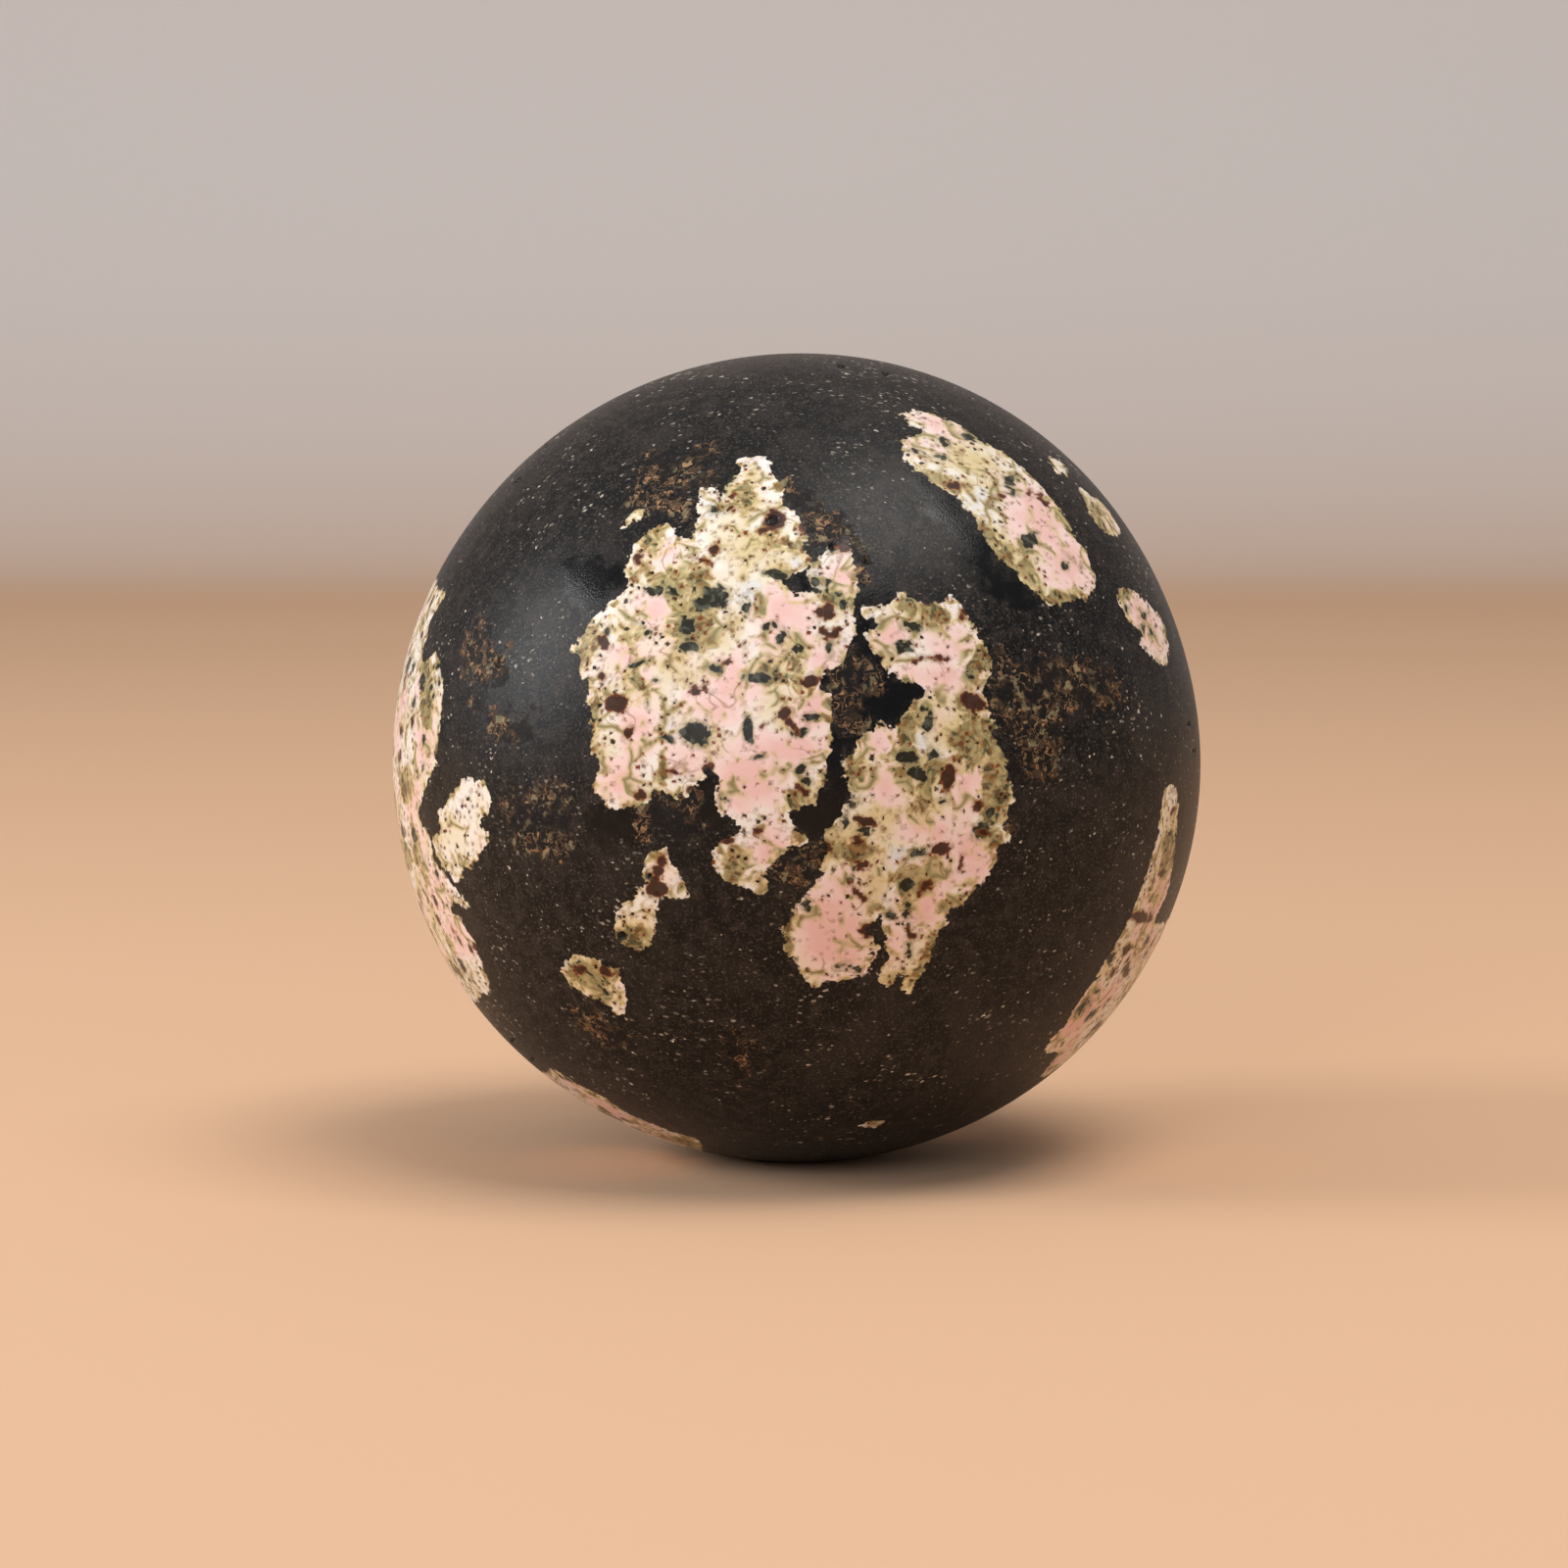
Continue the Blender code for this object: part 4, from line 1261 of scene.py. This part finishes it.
@dataclass
class RhodoniteBall:
    """The stone: a hand-ground ball with a small flat under it."""

    markings: Markings
    finish: PolishedRhodonite = PolishedRhodonite()
    name: str = "polished_ball"
    start_level: int = 6  # the icosphere that the ball starts from has edges of 1.1 mm
    refinements: int = 3
    pit_depth: float = 0.22
    sponge_depth: float = 0.05
    sponge_grain: float = 0.5  # how far apart the sponge's hollows are
    hidden_coarser: float = 1.4  # how much longer edges may be where no one place was looked up
    middle: float = 0.0  # the height of the ball's middle while it is worked on

    def directions(self, form: bmesh.types.BMesh) -> np.ndarray:
        """The unit directions of the corners from the ball's middle."""
        corners = np.array([corner.co for corner in form.verts])
        return to_unit(corners - (0, 0, self.middle))

    def edge_allowed(self, depths: Depths) -> np.ndarray:
        """How long the mesh's edges may be at each point, so that they follow the markings."""
        pale, vuggy = depths.of[Stain.PALE], depths.of[Stain.VUGGY]
        glassy = depths.of[Stain.GLASSY]
        spots = np.max([depths.of[stain] for stain in (Stain.BLACK, Stain.RUST, Stain.PIT)], axis=0)
        allowed = np.full(len(pale), 1.4)
        allowed = np.minimum(allowed, 0.22 + 0.5 * np.abs(pale))
        allowed = np.where(pale > 0, np.minimum(allowed, 0.5), allowed)
        allowed = np.minimum(allowed, 0.3 + 0.6 * np.maximum(-vuggy, 0))
        allowed = np.minimum(allowed, 0.4 + 0.6 * np.abs(glassy))
        allowed = np.minimum(allowed, 0.17 + 0.7 * np.maximum(-spots, 0))
        return allowed * np.where(depths.directions @ FRONT.toward > 0, 1.0, self.hidden_coarser)

    def refine(self, form: bmesh.types.BMesh) -> None:
        """Divides the edges near the markings, and puts the new corners on the ball."""
        allowed = self.edge_allowed(self.markings.depths_at(self.directions(form)))
        form.verts.index_update()
        long = [
            edge
            for edge in form.edges
            if edge.calc_length() > min(allowed[corner.index] for corner in edge.verts)
        ]
        bmesh.ops.subdivide_edges(form, edges=long, cuts=1, use_grid_fill=True)
        bmesh.ops.triangulate(form, faces=[face for face in form.faces if len(face.verts) > 3])
        for corner in form.verts:
            corner.co = corner.co.normalized() * RADIUS

    def grind(self, form: bmesh.types.BMesh) -> None:
        """Gives the round ball its swells and dips, and stands it over the origin."""
        directions = self.directions(form)
        reach = np.full(len(directions), RADIUS)
        for swell in SWELLS:
            away = np.arccos(np.clip(directions @ outward(swell.turn, swell.lift), -1, 1))
            reach += swell.height * np.exp(-((away / math.radians(swell.spread)) ** 2))
        corners = directions * reach[:, None]
        centre = (corners.min(axis=0) + corners.max(axis=0)) / 2
        for corner, place in zip(form.verts, corners):
            corner.co = Vector(place) - Vector((centre[0], centre[1], -MIDDLE_HEIGHT))
        self.middle = MIDDLE_HEIGHT

    def grind_flat(self, form: bmesh.types.BMesh) -> None:
        """Cuts the ball through where the foot will be, leaving a ring of corners at its edge; sink levels all below
        it.
        """
        everything = list(form.verts) + list(form.edges) + list(form.faces)
        bmesh.ops.bisect_plane(form, geom=everything, plane_co=(0, 0, 0), plane_no=(0, 0, 1), dist=1e-4)
        bmesh.ops.triangulate(form, faces=[face for face in form.faces if len(face.verts) > 3])

    def sink(self, form: bmesh.types.BMesh, depths: Depths) -> None:
        """Opens the pits and the spongy areas, and levels the foot."""
        pit = np.clip(depths.of[Stain.PIT] / 0.12 + 0.5, 0, 1) * self.pit_depth
        sponge = np.clip(depths.of[Stain.VUGGY] / 0.8 + 0.3, 0, 1) * self.sponge_depth
        for corner, hole, rough in zip(form.verts, pit, sponge):
            inward = (Vector((0, 0, self.middle)) - corner.co).normalized()
            if rough > 0:
                hollow = noise.turbulence(corner.co / self.sponge_grain, 2, False)
                hole = max(hole, rough * hollow)
            corner.co += inward * hole
            if corner.co.z < 1e-4:
                corner.co.z = 0.0

    def build(self) -> bpy.types.Object:
        """The finished stone."""
        form = bmesh.new()
        bmesh.ops.create_icosphere(form, subdivisions=self.start_level, radius=RADIUS)
        for _ in range(self.refinements):
            self.refine(form)
        self.grind(form)
        self.grind_flat(form)
        depths = self.markings.depths_at(self.directions(form))
        self.sink(form, depths)
        bmesh.ops.scale(form, vec=(MM, MM, MM), verts=form.verts)
        mesh = bpy.data.meshes.new(self.name)
        form.to_mesh(mesh)
        form.free()
        for face in mesh.polygons:
            face.use_smooth = face.center.z > 1e-7
        for stain, values in depths.of.items():
            layer = mesh.attributes.new(stain.value, "FLOAT", "POINT")
            layer.data.foreach_set("value", values.astype(np.float32))
        mesh.materials.append(self.finish.made())
        ball = bpy.data.objects.new(self.name, mesh)
        bpy.context.scene.collection.objects.link(ball)
        return ball


@dataclass(frozen=True)
class PlainPaper:
    """A roll of matt studio paper: dull, even, warm where it lies and greyer where it hangs."""

    lying: str = "#d6ae8c"
    hanging: str = "#e2dad5"

    def made(self, start: float, end: float) -> bpy.types.Material:
        """The finished material, which fades from one colour to the other.

        Args:
            start: how far back the lying colour ends, in metres.
            end: how far back the hanging colour starts, in metres.

        Returns:
            The material.
        """
        recipe = Recipe("studio_paper")
        add = recipe.add
        here = add("TexCoord", out="Object")
        back = add("SeparateXYZ", {0: here}, out="Y")
        share = add("MapRange", {"Value": back, 1: start, 2: end}, interpolation_type="SMOOTHSTEP")
        shade = add(
            "Mix", {0: share, 6: linear(self.lying), 7: linear(self.hanging)}, out=2, data_type="RGBA"
        )
        shader = add("BsdfPrincipled", {"Base Color": shade, "Roughness": 0.9, "Specular IOR Level": 0.2})
        add("OutputMaterial", {"Surface": shader})
        return recipe.material


@dataclass
class Studio:
    """A plain sweep of paper and soft lights. Lengths here are metres."""

    half_width: float = 1.6
    front: float = -1.4
    bend_start: float = 0.80
    bend_radius: float = 0.30
    wall_height: float = 1.2
    paper: PlainPaper = PlainPaper()

    def sweep(self) -> bpy.types.Object:
        """The floor, which bends up behind the stone into a backdrop."""
        arc = math.pi / 2 * self.bend_radius
        length = self.bend_start - self.front + arc + self.wall_height
        form = bmesh.new()
        bmesh.ops.create_grid(form, x_segments=2, y_segments=160, size=0.5)
        for corner in form.verts:
            along = (corner.co.y + 0.5) * length + self.front
            over = along - self.bend_start
            if over <= 0:
                place = (along, 0.0)
            elif over < arc:
                angle = over / self.bend_radius
                place = (
                    self.bend_start + self.bend_radius * math.sin(angle),
                    self.bend_radius * (1 - math.cos(angle)),
                )
            else:
                place = (self.bend_start + self.bend_radius, self.bend_radius + over - arc)
            corner.co = (corner.co.x * 2 * self.half_width, *place)
        mesh = bpy.data.meshes.new("studio_sweep")
        form.to_mesh(mesh)
        form.free()
        mesh.shade_smooth()
        mesh.materials.append(self.paper.made(self.bend_start - 0.12, self.bend_start + 0.24))
        sweep = bpy.data.objects.new("studio_sweep", mesh)
        bpy.context.scene.collection.objects.link(sweep)
        return sweep

    def softbox(self, name: str, toward: tuple[float, float, float], away: float, size: tuple[float, float],
                watts: float, shade: str) -> bpy.types.Object:
        """A rectangular soft light that faces the stone.

        Args:
            name: its name.
            toward: the direction from the stone to it.
            away: how far it is from the stone, in metres.
            size: its width and height in metres.
            watts: its power.
            shade: its colour.

        Returns:
            The light's object.
        """
        lamp = bpy.data.lights.new(name, "AREA")
        lamp.shape = "RECTANGLE"
        lamp.size, lamp.size_y = size
        lamp.energy = watts
        lamp.color = linear(shade)[:3]
        light = bpy.data.objects.new(name, lamp)
        direction = Vector(toward).normalized()
        light.location = Vector((0, 0, MIDDLE_HEIGHT * MM)) + direction * away
        light.rotation_euler = direction.to_track_quat("Z", "Y").to_euler()
        bpy.context.scene.collection.objects.link(light)
        return light

    def lights(self) -> None:
        """A window, a lamp panel and a wide pale ceiling over the stone, and an even sky."""
        self.softbox("left_window", (-0.913, -0.110, 0.393), 0.8, (0.34, 0.40), 4.0, "#f4f6f8")
        self.softbox("ceiling_window", (0.294, -0.226, 0.929), 0.8, (0.50, 0.36), 4.0, "#fbf6f1")
        self.softbox("front_window", (-0.33, -0.86, 0.40), 1.2, (0.5, 0.5), 3.6, "#eaf0ff")
        self.softbox("pale_ceiling", (0.0, 0.15, 1.0), 1.2, (2.0, 1.6), 2.8, "#f6f4f2")
        world = bpy.data.worlds.new("even_sky")
        world.use_nodes = True
        sky = world.node_tree.nodes["Background"]
        sky.inputs["Color"].default_value = linear("#eef0f3")
        sky.inputs["Strength"].default_value = 0.36
        bpy.context.scene.world = world


@dataclass
class PhotoCamera:
    """The camera in front of the stone."""

    lens: float = 123.4
    sensor: float = 36.0
    left_of_middle: float = 0.93  # mm from the ball's middle to the line of sight
    below_middle: float = 1.90

    def place(self) -> bpy.types.Object:
        """The camera, where the eye of the front side is."""
        data = bpy.data.cameras.new("camera")
        data.lens = self.lens
        data.sensor_width = self.sensor
        data.clip_start = 0.01
        camera = bpy.data.objects.new("camera", data)
        middle = np.array((0, 0, MIDDLE_HEIGHT))
        eye = middle + FRONT.toward * EYE_DISTANCE
        aim = middle - FRONT.right * self.left_of_middle - FRONT.up * self.below_middle
        camera.location = Vector(eye) * MM
        camera.rotation_euler = Vector(eye - aim).to_track_quat("Z", "Y").to_euler()
        bpy.context.scene.collection.objects.link(camera)
        bpy.context.scene.camera = camera
        return camera


def main() -> None:
    """Builds the stone, the studio and the camera."""
    logging.basicConfig(level=logging.INFO, format="%(name)s: %(message)s")
    stone = RhodoniteBall(all_markings())
    ball = stone.build()
    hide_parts("rhodonite_ball")
    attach(ball, "root")
    LOG.info("%s: %d triangles", ball.name, len(ball.data.polygons))

    studio = Studio()
    sweep = studio.sweep()
    studio.lights()
    LOG.info("%s and its lights", sweep.name)

    camera = PhotoCamera().place()
    LOG.info("%s: %.1f mm lens", camera.name, camera.data.lens)
    bpy.context.scene.view_settings.view_transform = "Standard"


if __name__ == "__main__":
    main()
